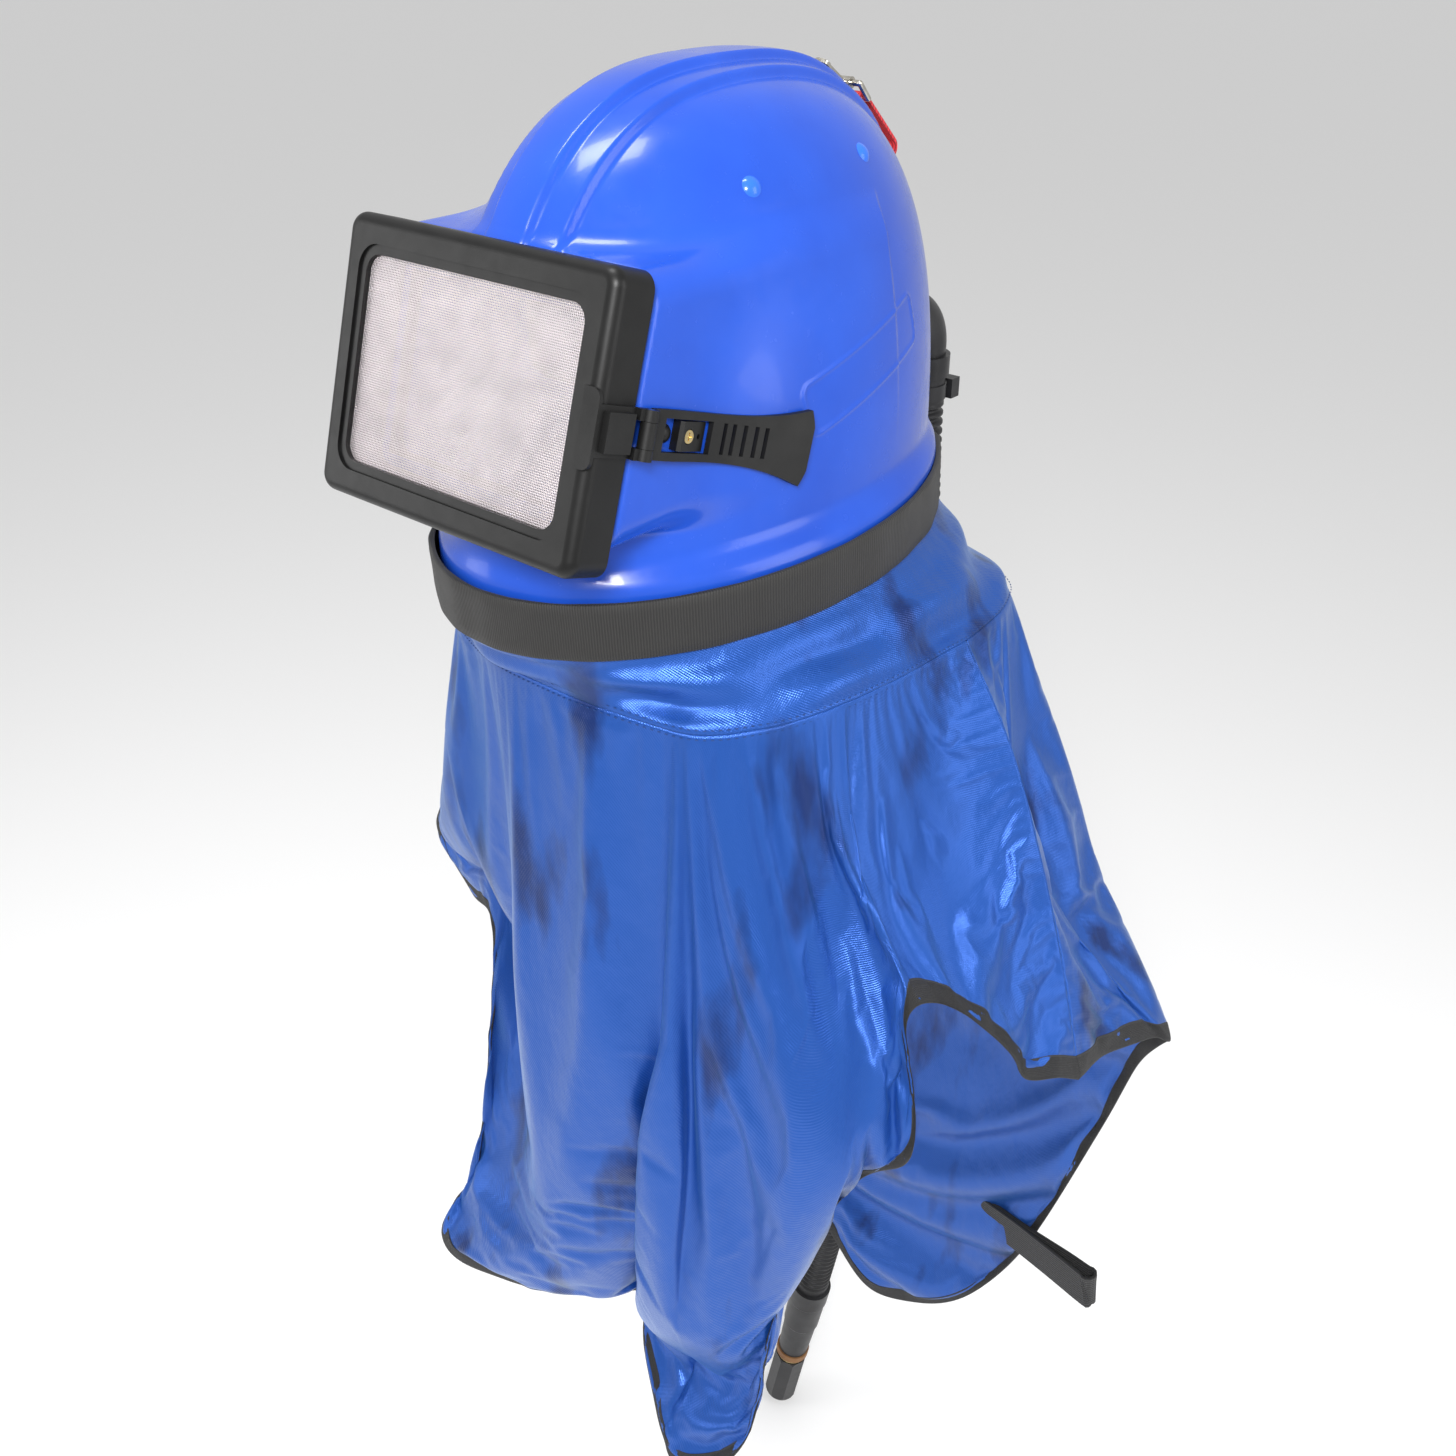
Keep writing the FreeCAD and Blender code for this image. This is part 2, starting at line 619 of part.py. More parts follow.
def hang_bolt():
    head = rod(4.5, (0, -5, 1.6), (0, -5, 4.4))
    return at_hang(head.fuse(rod(2.5, (0, -5, -14), (0, -5, 1.6))))


def hang_ring():
    """Rectangular wire ring through the bracket's rolled end."""
    y, z = KNUCKLE
    wire = 1.7
    corners = ((-14, 0), (14, 0), (14, 12), (-14, 12))
    solids = []
    for i, (x, reach) in enumerate(corners):
        after = corners[(i + 1) % 4]
        solids.append(rod(wire, (x, y + reach, z), (after[0], y + after[1], z)))
        solids.append(Part.makeSphere(wire, V(x, y + reach, z)))
    return at_hang(fused(solids), HANG_DROOP)


def hang_loop():
    """Red webbing sewn round the ring's free side, as a loop that widens towards its end."""
    y, z = KNUCKLE
    rear = y + 12
    end = rear + 42
    solids = []
    for grow, half in ((1.6, 11), (0, 12)):
        near, far = 1.9 + grow, 5.0 + grow
        corners = [V(-half, rear, z - near), V(-half, end, z - far)]
        corners += [V(-half, end, z + far), V(-half, rear, z + near)]
        wedge = Part.Face(Part.makePolygon(corners + corners[:1])).extrude(V(2 * half, 0, 0))
        rods = [rod(near, (-half, rear, z), (half, rear, z)), rod(far, (-half, end, z), (half, end, z))]
        solids.append(fused([wedge] + rods))
    return at_hang(solids[0].cut(solids[1]), HANG_DROOP)


# ---- air supply ----------------------------------------------------------------------------------

def bend(radius, stretch):
    """Elbow-shaped rod: back through the shell, then down."""
    start = inlet_start()
    corner = V(INLET_X, HOSE_Y, INLET_Z)
    before = corner - V(0, ELBOW_BEND, 0)
    after = corner - UP * ELBOW_BEND
    centre = before - UP * ELBOW_BEND
    middle = centre + V(0, ELBOW_BEND, ELBOW_BEND) * math.sqrt(0.5)
    bottom = V(INLET_X, HOSE_Y, HOSE_ROUTE[0][2] - stretch)
    arc = Part.Arc(before, middle, after).toShape()
    spine = Part.Wire([Part.makeLine(start - V(0, stretch, 0), before), arc, Part.makeLine(after, bottom)])
    circle = Part.Wire([Part.makeCircle(radius, start - V(0, stretch, 0), V(0, 1, 0))])
    return spine.makePipeShell([circle], True, True)


def air_inlet_elbow():
    """Elbow with an outside flange shaped to the shell and a collar for the hose."""
    x, z = INLET_X, INLET_Z
    flange = rod(24, (x, 148, z), (x, 172, z)).cut(dome())
    collar = rod(18, (x, HOSE_Y, HOSE_ROUTE[0][2]), (x, HOSE_Y, HOSE_ROUTE[0][2] + 14))
    return fused([bend(SPIGOT_RADIUS, 0), flange, collar]).cut(bend(SPIGOT_BORE, 1))


def inlet_seal():
    """Rubber washer against the inside of the shell."""
    x, z = INLET_X, INLET_Z
    ring = pipe(20, SPIGOT_RADIUS, (x, INLET_INNER_Y + 9, z), (x, 175, z))
    return ring.common(dome(-WALL, -WALL))


def inlet_nut():
    x, z = INLET_X, INLET_Z
    near = INLET_INNER_Y + 3
    turns = [math.radians(60 * i) for i in range(7)]
    corners = [V(x + 22 * math.cos(turn), near, z + 22 * math.sin(turn)) for turn in turns]
    nut = Part.Face(Part.makePolygon(corners)).extrude(V(0, 6, 0))
    return nut.cut(rod(SPIGOT_RADIUS, (x, near - 1, z), (x, near + 7, z)))


def air_diffuser():
    """Perforated cap that quietens and spreads the air inside the hood."""
    x, z = INLET_X, INLET_Z
    mouth = INLET_INNER_Y
    side = pipe(19, 16.5, (x, mouth - 16, z), (x, mouth, z))
    end = rod(19, (x, mouth - 19, z), (x, mouth - 16, z))
    lip = pipe(19, SPIGOT_BORE, (x, mouth - 2, z), (x, mouth, z))
    cup = fused([side, end, lip])
    for i in range(8):
        angle = math.pi * i / 8
        out = V(math.cos(angle), 0, math.sin(angle)) * 25
        centre = V(x, mouth - 9, z)
        cup = cup.cut(rod(2.5, tuple(centre - out), tuple(centre + out)))
    return cup


def tube_path(points):
    """Straight runs joined by the widest tangent arcs that fit between them."""
    edges = []
    radii = []
    last = V(*points[0])
    for before, corner, after in zip(points, points[1:], points[2:]):
        back = V(*before) - V(*corner)
        on = V(*after) - V(*corner)
        reach = 0.45 * min(back.Length, on.Length)
        half_turn = (math.pi - back.getAngle(on)) / 2
        radius = reach / math.tan(half_turn)
        back.normalize()
        on.normalize()
        start = V(*corner) + back * reach
        end = V(*corner) + on * reach
        inward = back + on
        inward.normalize()
        middle = V(*corner) + inward * (radius / math.cos(half_turn) - radius)
        edges.append(Part.LineSegment(last, start).toShape())
        edges.append(Part.Arc(start, middle, end).toShape())
        radii.append(round(radius))
        last = end
    edges.append(Part.LineSegment(last, V(*points[-1])).toShape())
    return Part.Wire(edges), radii


def air_hose():
    """Corrugated breathing hose, as a plain tube along its route."""
    path, radii = tube_path(HOSE_ROUTE)
    tubes = []
    for radius in (HOSE_RADIUS, HOSE_BORE):
        start = V(*HOSE_ROUTE[0])
        circle = Part.Wire([Part.makeCircle(radius, start, V(*HOSE_ROUTE[1]) - start)])
        tubes.append(path.makePipeShell([circle], True, True))
    hose = tubes[0].cut(tubes[1])
    expected = math.pi * (HOSE_RADIUS ** 2 - HOSE_BORE ** 2) * path.Length
    print("air_hose: length", round(path.Length), "bend radii", radii)
    print("air_hose: volume ratio", round(hose.Volume / expected, 3))
    return hose


def hose_axis():
    end = V(*HOSE_ROUTE[-1])
    way = end - V(*HOSE_ROUTE[-2])
    way.normalize()
    return end, way


def on_hose_end(profile):
    """Turned piece on the hose's lower end, with heights measured along the hose."""
    end, way = hose_axis()
    return turned(profile, tuple(end), tuple(way))


def hose_clamp():
    """Worm-drive clamp at the top of the hose."""
    top = HOSE_ROUTE[0][2] - 5
    band = pipe(HOSE_RADIUS + 0.9, HOSE_RADIUS, (INLET_X, HOSE_Y, top - 10), (INLET_X, HOSE_Y, top))
    housing = box((INLET_X + 4, HOSE_Y + 13, top - 12), (INLET_X + 16, HOSE_Y + 22, top + 1))
    hose = rod(HOSE_RADIUS + 0.4, (INLET_X, HOSE_Y, top - 20), (INLET_X, HOSE_Y, top + 10))
    return band.fuse(housing.cut(hose))


def hose_cuff():
    """Smooth stepped and tapered rubber cuff."""
    outside = [(HOSE_RADIUS + 3, 0), (HOSE_RADIUS + 3, 22), (HOSE_RADIUS + 2, 24), (HOSE_RADIUS + 1.6, 62)]
    outside += [(HOSE_RADIUS + 0.6, 64), (HOSE_RADIUS - 1, 112)]
    return on_hose_end([(HOSE_BORE, 0)] + outside + [(HOSE_BORE, 112)])


def hose_ring():
    """Brown clamp ring below the cuff."""
    outer = HOSE_RADIUS + 0.5
    return on_hose_end([(HOSE_BORE, 112), (outer, 112), (outer, 120), (HOSE_BORE, 120)])


def connector_nipple():
    """Nipple in the cuff with a flange that keeps the coupling nut on."""
    outside = [(HOSE_BORE, 90), (HOSE_BORE, 120), (15, 120), (15, 124), (NIPPLE_RADIUS, 124)]
    outside += [(NIPPLE_RADIUS, 166), (13, 166), (13, 170)]
    return on_hose_end([(5, 90)] + outside + [(5, 170)])


def coupling_nut():
    """Eight-sided nut that turns freely on the nipple."""
    end, way = hose_axis()
    turns = [math.radians(45 * i) for i in range(9)]
    corners = [V(17 * math.cos(turn), 17 * math.sin(turn), 124.3) for turn in turns]
    nut = Part.Face(Part.makePolygon(corners)).extrude(V(0, 0, 71.7))
    nut = nut.cut(rod(NIPPLE_RADIUS + PIN_CLEARANCE, (0, 0, 124), (0, 0, 165.5)))
    nut = nut.cut(rod(THREAD_RADIUS + 0.5, (0, 0, 165.5), (0, 0, 170.2)))
    nut = nut.cut(rod(THREAD_RADIUS, (0, 0, 170), (0, 0, 197)))
    chamfered = [(0, 124), (15.8, 124), (17.2, 128), (17.2, 190), (15.8, 196), (0, 196)]
    nut = nut.common(turned(chamfered, (0, 0, 0), (0, 0, 1)))
    nut.Placement = FreeCAD.Placement(end, FreeCAD.Rotation(UP, way))
    return nut


# ---- cape ----------------------------------------------------------------------------------------

def round_points(z, half_width, front, back, inset, power, start, sweep):
    """Points round the cape at one height, on a curve squarer than an ellipse. Angles are in degrees."""
    steps = sweep // 10
    middle = (front + back) / 2
    half_length = (back - front) / 2 - inset
    points = []
    for i in range(steps + 1):
        angle = math.radians(start + sweep * i / steps)
        across = math.copysign(abs(math.cos(angle)) ** (2 / power), math.cos(angle))
        along = math.copysign(abs(math.sin(angle)) ** (2 / power), math.sin(angle))
        points.append(V((half_width - inset) * across, middle + half_length * along, z))
    return points


def whole_section(z, half_width, front, back, inset, power):
    """Closed curve round the cape at one height."""
    points = round_points(z, half_width, front, back, inset, power, 0, 360)[:-1]
    curve = Part.BSplineCurve()
    curve.interpolate(Points=points, PeriodicFlag=True)
    return Part.Wire([curve.toShape()])


def half_section(level, power, start):
    """Outline of the cloth's thickness round the front or the back half, at one height."""
    outer = round_points(*level, 0, power, start, 180)
    inner = round_points(*level, CAPE_THICK, power, start, 180)
    ends = [Part.makeLine(outer[i], inner[i]) for i in (0, -1)]
    return Part.Wire([spline(outer), ends[1], spline(inner), ends[0]])


def tipped(wire):
    """A curve at the rim's pitch instead of level."""
    placed = wire.copy()
    placed.Placement = RIM.multiply(placed.Placement)
    return placed


def cape_wall(start):
    """Hanging cloth of the front half (from 180 degrees) or the back half (from 0), down from the yoke."""
    seam = (-SEAM_DROP, SEAM_HALF_WIDTH, SEAM_FRONT, SEAM_BACK)
    sections = [tipped(half_section(seam, SEAM_POWER, start))]
    sections += [half_section(level, CAPE_POWER, start) for level in CAPE_LEVELS]
    return Part.makeLoft(sections, True, True)


def hem_row(hem, inset):
    """A hem given for one side, moved up by inset and mirrored to run from right to left."""
    half = shifted(hem, inset)
    return [(-x, z) for x, z in reversed(half[1:])] + half


def above_hem(hem, inset):
    """Everything above a hem, seen from the front."""
    row = hem_row(hem, inset)
    low = spline([(x, -300, z) for x, z in row])
    left, right = row[0], row[-1]
    corners = [(right[0], right[1]), (right[0], 0), (left[0], 0), (left[0], left[1])]
    rest = Part.makePolygon([V(x, -300, z) for x, z in corners])
    return Part.Face(Part.Wire([low] + rest.Edges)).extrude(V(0, 600, 0))


def along_hem(hem):
    """The strip just above a hem, as wide as its binding."""
    rows = [hem_row(hem, inset) for inset in (0, BINDING)]
    edges = [spline([(x, -300, z) for x, z in row]) for row in rows]
    ends = [Part.makeLine(*[V(row[i][0], -300, row[i][1]) for row in rows]) for i in (0, -1)]
    return Part.Face(Part.Wire([edges[0], ends[1], edges[1], ends[0]])).extrude(V(0, 600, 0))


def cape_panels():
    """Front and back cloth panels and the binding strips along their hems."""
    pieces = {}
    for name, hem, start in (("front", FRONT_HEM, 180), ("back", BACK_HEM, 0)):
        wall = cape_wall(start)
        pieces["cape_" + name + "_panel"] = wall.common(above_hem(hem, BINDING))
        pieces["cape_" + name + "_binding"] = wall.common(along_hem(hem))
    return pieces


def cape_yoke():
    """Collar of the cape: clamped between band and rim, then flaring to the yoke seam."""
    half_width = BAND_HALF_WIDTH - BAND_THICK - RIM_GAP / 2
    half_length = BAND_HALF_LENGTH - BAND_THICK - RIM_GAP / 2
    seam = (-SEAM_DROP, SEAM_HALF_WIDTH, SEAM_FRONT, SEAM_BACK)
    solids = []
    for tuck, inset in ((0, 0), (CLOTH - RIM_GAP / 2, CAPE_THICK)):
        sections = [whole_section(z, half_width, -half_length, half_length, tuck, 2.0)
                    for z in (BAND_HEIGHT - 4, 0)]
        sections.append(whole_section(*seam, inset, SEAM_POWER))
        solids.append(Part.makeLoft([tipped(section) for section in sections], True, True))
    return solids[0].cut(solids[1])


def side_strap(side):
    """Doubled elastic loop sewn to the inside of the back panel, held out to one side."""
    reach, layer, gap, height = 118.0, 2.0, 1.0, 34.0
    half = layer + gap / 2
    outside = box((0, -half, 0), (reach, half, height))
    outside = outside.fuse(rod(half, (reach, 0, 0), (reach, 0, height)))
    hollow = box((6, -gap / 2, -1), (reach, gap / 2, height + 1))
    hollow = hollow.fuse(rod(gap / 2, (reach, 0, -1), (reach, 0, height + 1)))
    loop = outside.cut(hollow)
    swing = FreeCAD.Rotation(UP, -23).multiply(FreeCAD.Rotation(V(0, 1, 0), -15))
    loop.Placement = FreeCAD.Placement(V(*STRAP_START), swing)
    if side < 0:
        loop = loop.mirror(V(0, 0, 0), V(1, 0, 0))
    return loop


# ---- assembly ------------------------------------------------------------------------------------

NODES = {
    "helmet_shell": shell,
    "rim_band": rim_band,
    "window_frame": window_frame,
    "mesh_screen": mesh_screen,
    "lens_gasket": lens_gasket,
    "outer_lens": outer_lens,
    "lens_retainer": lens_retainer,
    "window_gasket": window_gasket,
    "inner_seal": inner_seal,
    "inner_lens": inner_lens,
    "inner_lens_frame": inner_lens_frame,
    "lens_screws": lens_screws,
    "lens_posts": lens_posts,
    "hinge_bracket": hinge_bracket,
    "hinge_pin": hinge_pin,
    "hinge_screws": hinge_screws,
    "latch_anchor": latch_anchor,
    "latch_pin": latch_pin,
    "latch_strap": latch_strap,
    "latch_catch": latch_catch,
    "latch_screw": latch_screw,
    "latch_nut": latch_nut,
    "latch_stud": latch_stud,
    "suspension_rivets": lambda: Part.makeCompound(suspension_rivets()),
    "crown_strap_left": lambda: crown_strap(RIVET_PLACES[0], False),
    "crown_strap_right": lambda: crown_strap(RIVET_PLACES[1], True),
    "headband": headband,
    "headband_buttons": lambda: Part.makeCompound(headband_buttons()),
    "brow_pad": brow_pad,
    "ratchet_housing": ratchet_housing,
    "ratchet_knob": ratchet_knob,
    "hang_bracket": hang_bracket,
    "hang_bolt": hang_bolt,
    "hang_ring": hang_ring,
    "hang_loop": hang_loop,
    "air_inlet_elbow": air_inlet_elbow,
    "inlet_seal": inlet_seal,
    "inlet_nut": inlet_nut,
    "air_diffuser": air_diffuser,
    "air_hose": air_hose,
    "hose_clamp": hose_clamp,
    "hose_cuff": hose_cuff,
    "hose_ring": hose_ring,
    "connector_nipple": connector_nipple,
    "coupling_nut": coupling_nut,
    "cape_yoke": cape_yoke,
    "side_strap_left": lambda: side_strap(1),
    "side_strap_right": lambda: side_strap(-1),
}


def main():
    os.makedirs("parts", exist_ok=True)
    shapes = {name: make() for name, make in NODES.items()}
    shapes.update(cape_panels())
    for name, shape in shapes.items():
        print(name, "solids", len(shape.Solids), "valid", shape.isValid(), "volume", round(shape.Volume))
        shape.exportStep("parts/" + name + ".step")


main()
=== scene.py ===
import math

import bpy
import bmesh
import numpy as np
from mathutils import Matrix, Vector


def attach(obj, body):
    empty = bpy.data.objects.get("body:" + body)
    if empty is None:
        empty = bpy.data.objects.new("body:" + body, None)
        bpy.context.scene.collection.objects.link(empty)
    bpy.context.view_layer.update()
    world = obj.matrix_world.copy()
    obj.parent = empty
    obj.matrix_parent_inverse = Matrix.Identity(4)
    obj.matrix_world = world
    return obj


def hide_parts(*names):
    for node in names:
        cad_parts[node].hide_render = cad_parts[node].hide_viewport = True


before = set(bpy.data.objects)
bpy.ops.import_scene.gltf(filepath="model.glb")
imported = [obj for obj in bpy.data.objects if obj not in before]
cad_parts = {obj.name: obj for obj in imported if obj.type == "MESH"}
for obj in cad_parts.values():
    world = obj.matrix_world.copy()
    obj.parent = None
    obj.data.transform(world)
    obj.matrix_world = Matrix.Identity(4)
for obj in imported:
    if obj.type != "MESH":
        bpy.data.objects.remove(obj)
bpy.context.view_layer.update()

MM = 0.001

# Shell, in millimetres, as in the CAD part
CENTRE = np.array((0.0, 0.0, -20.0))
DOME = (108.0, 164.5, -115.0, 235.0, 2.8, 10.0)     # half width, half length, base, height, power, shift
TIERS = ((29.0, 4.5, 3.0), (13.5, 9.0, 6.0))        # half width, rise, extra half length
RIM_WALL = (117.8, 165.8)                           # half width, half length
RIM_SLOPE = (                                       # height above the rim, half width, half length
    (0, *RIM_WALL), (33, *RIM_WALL), (37, 116.6, 165.4), (46, 108.8, 162.6), (50, 106.6, 161.6),
    (130, 92, 145),
)
RIM_Z = -127.0
RIM_PITCH = math.radians(3.1)
BAND = (122.0, 170.0, 3.0, 32.0)                    # half width, half length, thickness, height
WINDOW_POINT = np.array((0.0, -171.0, -1.0))
WINDOW_LEAN = math.radians(17.3)
WINDOW_SEAT = 27.0
WINDOW_BLOCK = (90.0, 61.5, -5.5, 16.0, 40.0)       # half width, half height, middle z, corner, rearmost y
WINDOW_BLEND = 18.0
RIM_BLEND = 2.2
LOOKOUT = (150.0, 92.0)
PANEL = ((17.0, -13.0), (52.0, 13.5), math.radians(15))   # plain raised outline: centre, half size, tilt
PANEL_CORNER = 5.0
PANEL_RIDGE = (0.75, 0.95)                          # height, width

HOSE_ROUTE = (
    (12, 206, -80), (12, 206, -150), (26, 208, -280), (23, 209, -440), (10, 209, -610),
    (-8, 207, -780), (-30, 205, -925), (-46, 205, -1011),
)
HOSE_RADIUS = 16.0

# Cape: columns of points from the yoke seam down to the hem, in millimetres. The two panels share their
# outer columns.
FRONT_COLUMNS = (
    ((-150, 30, -171), (-185, 20, -245), (-212, 8, -325), (-226, -6, -392)),
    ((-146, -15, -171), (-178, -28, -245), (-204, -38, -325), (-222, -48, -407)),
    ((-128, -72, -174), (-150, -76, -255), (-168, -74, -340), (-174, -60, -440)),
    ((-98, -104, -178), (-112, -100, -260), (-122, -92, -350), (-128, -80, -452)),
    ((-62, -122, -176), (-74, -108, -320), (-100, -100, -470), (-138, -110, -655)),
    ((-30, -134, -171), (-36, -141, -300), (-93, -141, -500), (-150, -140, -713)),
    ((6, -139, -168), (-8, -149, -330), (-44, -150, -530), (-76, -141, -706)),
    ((45, -138, -168), (40, -147, -330), (14, -141, -530), (-4, -122, -684)),
    ((84, -126, -173), (78, -118, -330), (60, -106, -520), (30, -92, -690)),
    ((100, -120, -174), (100, -131, -300), (86, -142, -480), (72, -141, -754)),
    ((112, -110, -174), (122, -130, -300), (118, -142, -500), (104, -136, -764)),
    ((122, -98, -173), (146, -118, -300), (152, -130, -480), (132, -116, -722)),
    ((130, -84, -173), (162, -102, -300), (176, -110, -440), (150, -100, -594)),
    ((137, -68, -172), (172, -86, -280), (194, -96, -370), (192, -90, -462)),
    ((142, -52, -171), (178, -70, -255), (205, -82, -330), (227, -80, -413)),
    ((145, -38, -171), (176, -56, -235), (198, -68, -285), (212, -74, -334)),
    ((147, -22, -171), (178, -38, -230), (202, -48, -285), (221, -54, -328)),
    ((149, -5, -171), (182, -14, -235), (210, -24, -300), (238, -32, -352)),
    ((150, 15, -171), (188, 8, -240), (222, 2, -315), (249, -4, -400)),
    ((151, 35, -171), (192, 32, -240), (232, 26, -325), (262, 20, -410)),
    ((152, 55, -171), (192, 54, -235), (234, 47, -330), (267, 36, -420)),
)
BACK_COLUMNS = (
    FRONT_COLUMNS[-1],
    ((150, 80, -171), (198, 88, -245), (242, 92, -330), (264, 84, -434)),
    ((146, 104, -171), (196, 110, -245), (246, 112, -335), (283, 132, -446)),
    ((134, 130, -172), (196, 150, -280), (238, 158, -390), (260, 150, -490)),
    ((112, 148, -173), (170, 166, -330), (206, 170, -460), (236, 160, -580)),
    ((88, 158, -174), (140, 170, -370), (168, 172, -550), (192, 166, -734)),
    ((66, 163, -175), (104, 170, -380), (124, 172, -620), (146, 172, -838)),
    ((46, 167, -176), (72, 171, -390), (84, 172, -650), (97, 172, -893)),
    ((24, 170, -177), (36, 172, -400), (40, 172, -660), (46, 172, -918)),
    ((-8, 171, -177), (-6, 172, -400), (-4, 172, -650), (-2, 172, -884)),
    ((-36, 169, -176), (-52, 171, -390), (-64, 172, -620), (-72, 172, -836)),
    ((-66, 163, -175), (-100, 170, -360), (-124, 172, -560), (-138, 172, -752)),
    ((-98, 150, -173), (-148, 164, -330), (-182, 170, -470), (-200, 168, -620)),
    ((-124, 128, -172), (-180, 150, -290), (-222, 160, -400), (-242, 154, -512)),
    ((-144, 84, -171), (-190, 96, -250), (-226, 104, -340), (-246, 98, -440)),
    FRONT_COLUMNS[0],
)
YOKE_SEAM = [column[0] for column in FRONT_COLUMNS + BACK_COLUMNS[1:-1]]
TAPE_WIDTH = 15.0
TAPE_LIFT = 0.9
STRAP_ROUTE = ((140, 174, -740), (166, 168, -736), (196, 160, -730), (228, 152, -724), (254, 144, -718))
STRAP_WIDTH = 34.0

# View and light, in metres and degrees
EYE = (0.538, -0.601, 0.213)
EYE_TURN = 40.5
EYE_DIP = 30.2
FLOOR_Z = -1.216
FLOOR_REACH = 60.0
WORLD_STRENGTH = 0.65


# ---- shapes --------------------------------------------------------------------------------------

def piece(name, points, faces, finish, body="root", uvs=None, smooth=True):
    """Mesh object from points in millimetres, riding on a CAD body."""
    mesh = bpy.data.meshes.new(name)
    mesh.from_pydata((np.asarray(points, float) * MM).tolist(), [], faces)
    if uvs is not None:
        layer = mesh.uv_layers.new(name="cloth")
        picks = np.zeros(len(mesh.loops), np.int64)
        mesh.loops.foreach_get("vertex_index", picks)
        layer.data.foreach_set("uv", (np.asarray(uvs, float)[picks] * MM).ravel())
    mesh.polygons.foreach_set("use_smooth", [smooth] * len(mesh.polygons))
    mesh.materials.append(finish)
    thing = bpy.data.objects.new(name, mesh)
    bpy.context.scene.collection.objects.link(thing)
    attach(thing, body)
    return thing


def grid_faces(rows, columns, wrap=False):
    """Four-sided faces over a grid of points stored row by row."""
    faces = []
    last = columns if wrap else columns - 1
    for i in range(rows - 1):
        for j in range(last):
            k = (j + 1) % columns
            faces.append((i * columns + j, i * columns + k, (i + 1) * columns + k, (i + 1) * columns + j))
    return faces


def through(points, steps):
    """Catmull-Rom curve through rows of points, with steps between neighbours."""
    p = np.asarray(points, float)
    padded = np.concatenate([2 * p[:1] - p[1:2], p, 2 * p[-1:] - p[-2:-1]])
    pieces = []
    for i in range(len(p) - 1):
        a, b, c, d = padded[i:i + 4]
        for t in np.arange(steps) / steps:
            pieces.append(0.5 * (2 * b + (c - a) * t + (2 * a - 5 * b + 4 * c - d) * t ** 2
                                 + (3 * b - a - 3 * c + d) * t ** 3))
    pieces.append(p[-1])
    return np.array(pieces)


def even(points, count):
    """The same curve as count points, evenly spaced."""
    p = np.asarray(points, float)
    lengths = np.concatenate([[0], np.cumsum(np.linalg.norm(np.diff(p, axis=0), axis=1))])
    at = np.linspace(0, lengths[-1], count)
    return np.stack([np.interp(at, lengths, p[:, i]) for i in range(3)], axis=1)


def normals(grid):
    """Unit normals of a grid of points."""
    down = np.gradient(grid, axis=0)
    along = np.gradient(grid, axis=1)
    n = np.cross(along, down)
    return n / np.maximum(np.linalg.norm(n, axis=2, keepdims=True), 1e-9)


def grid_uvs(grid):
    """Flat coordinates of a grid of cloth, in millimetres."""
    along = np.linalg.norm(np.diff(grid, axis=1), axis=2).mean(axis=0)
    down = np.linalg.norm(np.diff(grid, axis=0), axis=2).mean(axis=1)
    u = np.concatenate([[0], np.cumsum(along)])
    v = np.concatenate([[0], np.cumsum(down)])
    uu, vv = np.meshgrid(u, v)
    return np.stack([uu, vv], axis=2).reshape(-1, 2)


def sweep(path, outline, across):
    """Points and faces of a closed flat outline carried along a path. across is its first direction."""
    p = np.asarray(path, float)
    ways = np.gradient(p, axis=0)
    ways /= np.linalg.norm(ways, axis=1, keepdims=True)
    side = np.broadcast_to(np.asarray(across, float), p.shape)
    side = side - (side * ways).sum(axis=1, keepdims=True) * ways
    side /= np.linalg.norm(side, axis=1, keepdims=True)
    up = np.cross(ways, side)
    outline = np.asarray(outline, float)
    points = p[:, None] + side[:, None] * outline[None, :, :1] + up[:, None] * outline[None, :, 1:]
    faces = grid_faces(len(p), len(outline), wrap=True)
    last = (len(p) - 1) * len(outline)
    faces.append(tuple(range(len(outline))))
    faces.append(tuple(last + i for i in reversed(range(len(outline)))))
    return points.reshape(-1, 3), faces


def cloned(name, node, finish, body="root"):
    """Copy of a CAD node's mesh as a piece of its own, which replaces the node."""
    thing = bpy.data.objects.new(name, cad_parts[node].data.copy())
    bpy.context.scene.collection.objects.link(thing)
    thing.data.materials.clear()
    thing.data.materials.append(finish)
    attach(thing, body)
    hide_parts(node)
    return thing


# ---- materials -----------------------------------------------------------------------------------

def shader(name, color, roughness, **settings):
    """Material with one Principled shader. settings are socket names with _ for spaces."""
    made = bpy.data.materials.new(name)
    made.use_nodes = True
    surface = made.node_tree.nodes["Principled BSDF"]
    surface.inputs["Base Color"].default_value = (*color, 1)
    surface.inputs["Roughness"].default_value = roughness
    for key, value in settings.items():
        surface.inputs[key.replace("_", " ")].default_value = value
    return made


def add(made, kind, **settings):
    """Shader node of one kind in a material. settings are the node's own properties."""
    node = made.node_tree.nodes.new(kind)
    for key, value in settings.items():
        setattr(node, key, value)
    return node


def place(made, uv):
    """Coordinates in metres: the object's own, or the cloth's flat ones."""
    node = add(made, "ShaderNodeTexCoord")
    return node.outputs["UV" if uv else "Object"]


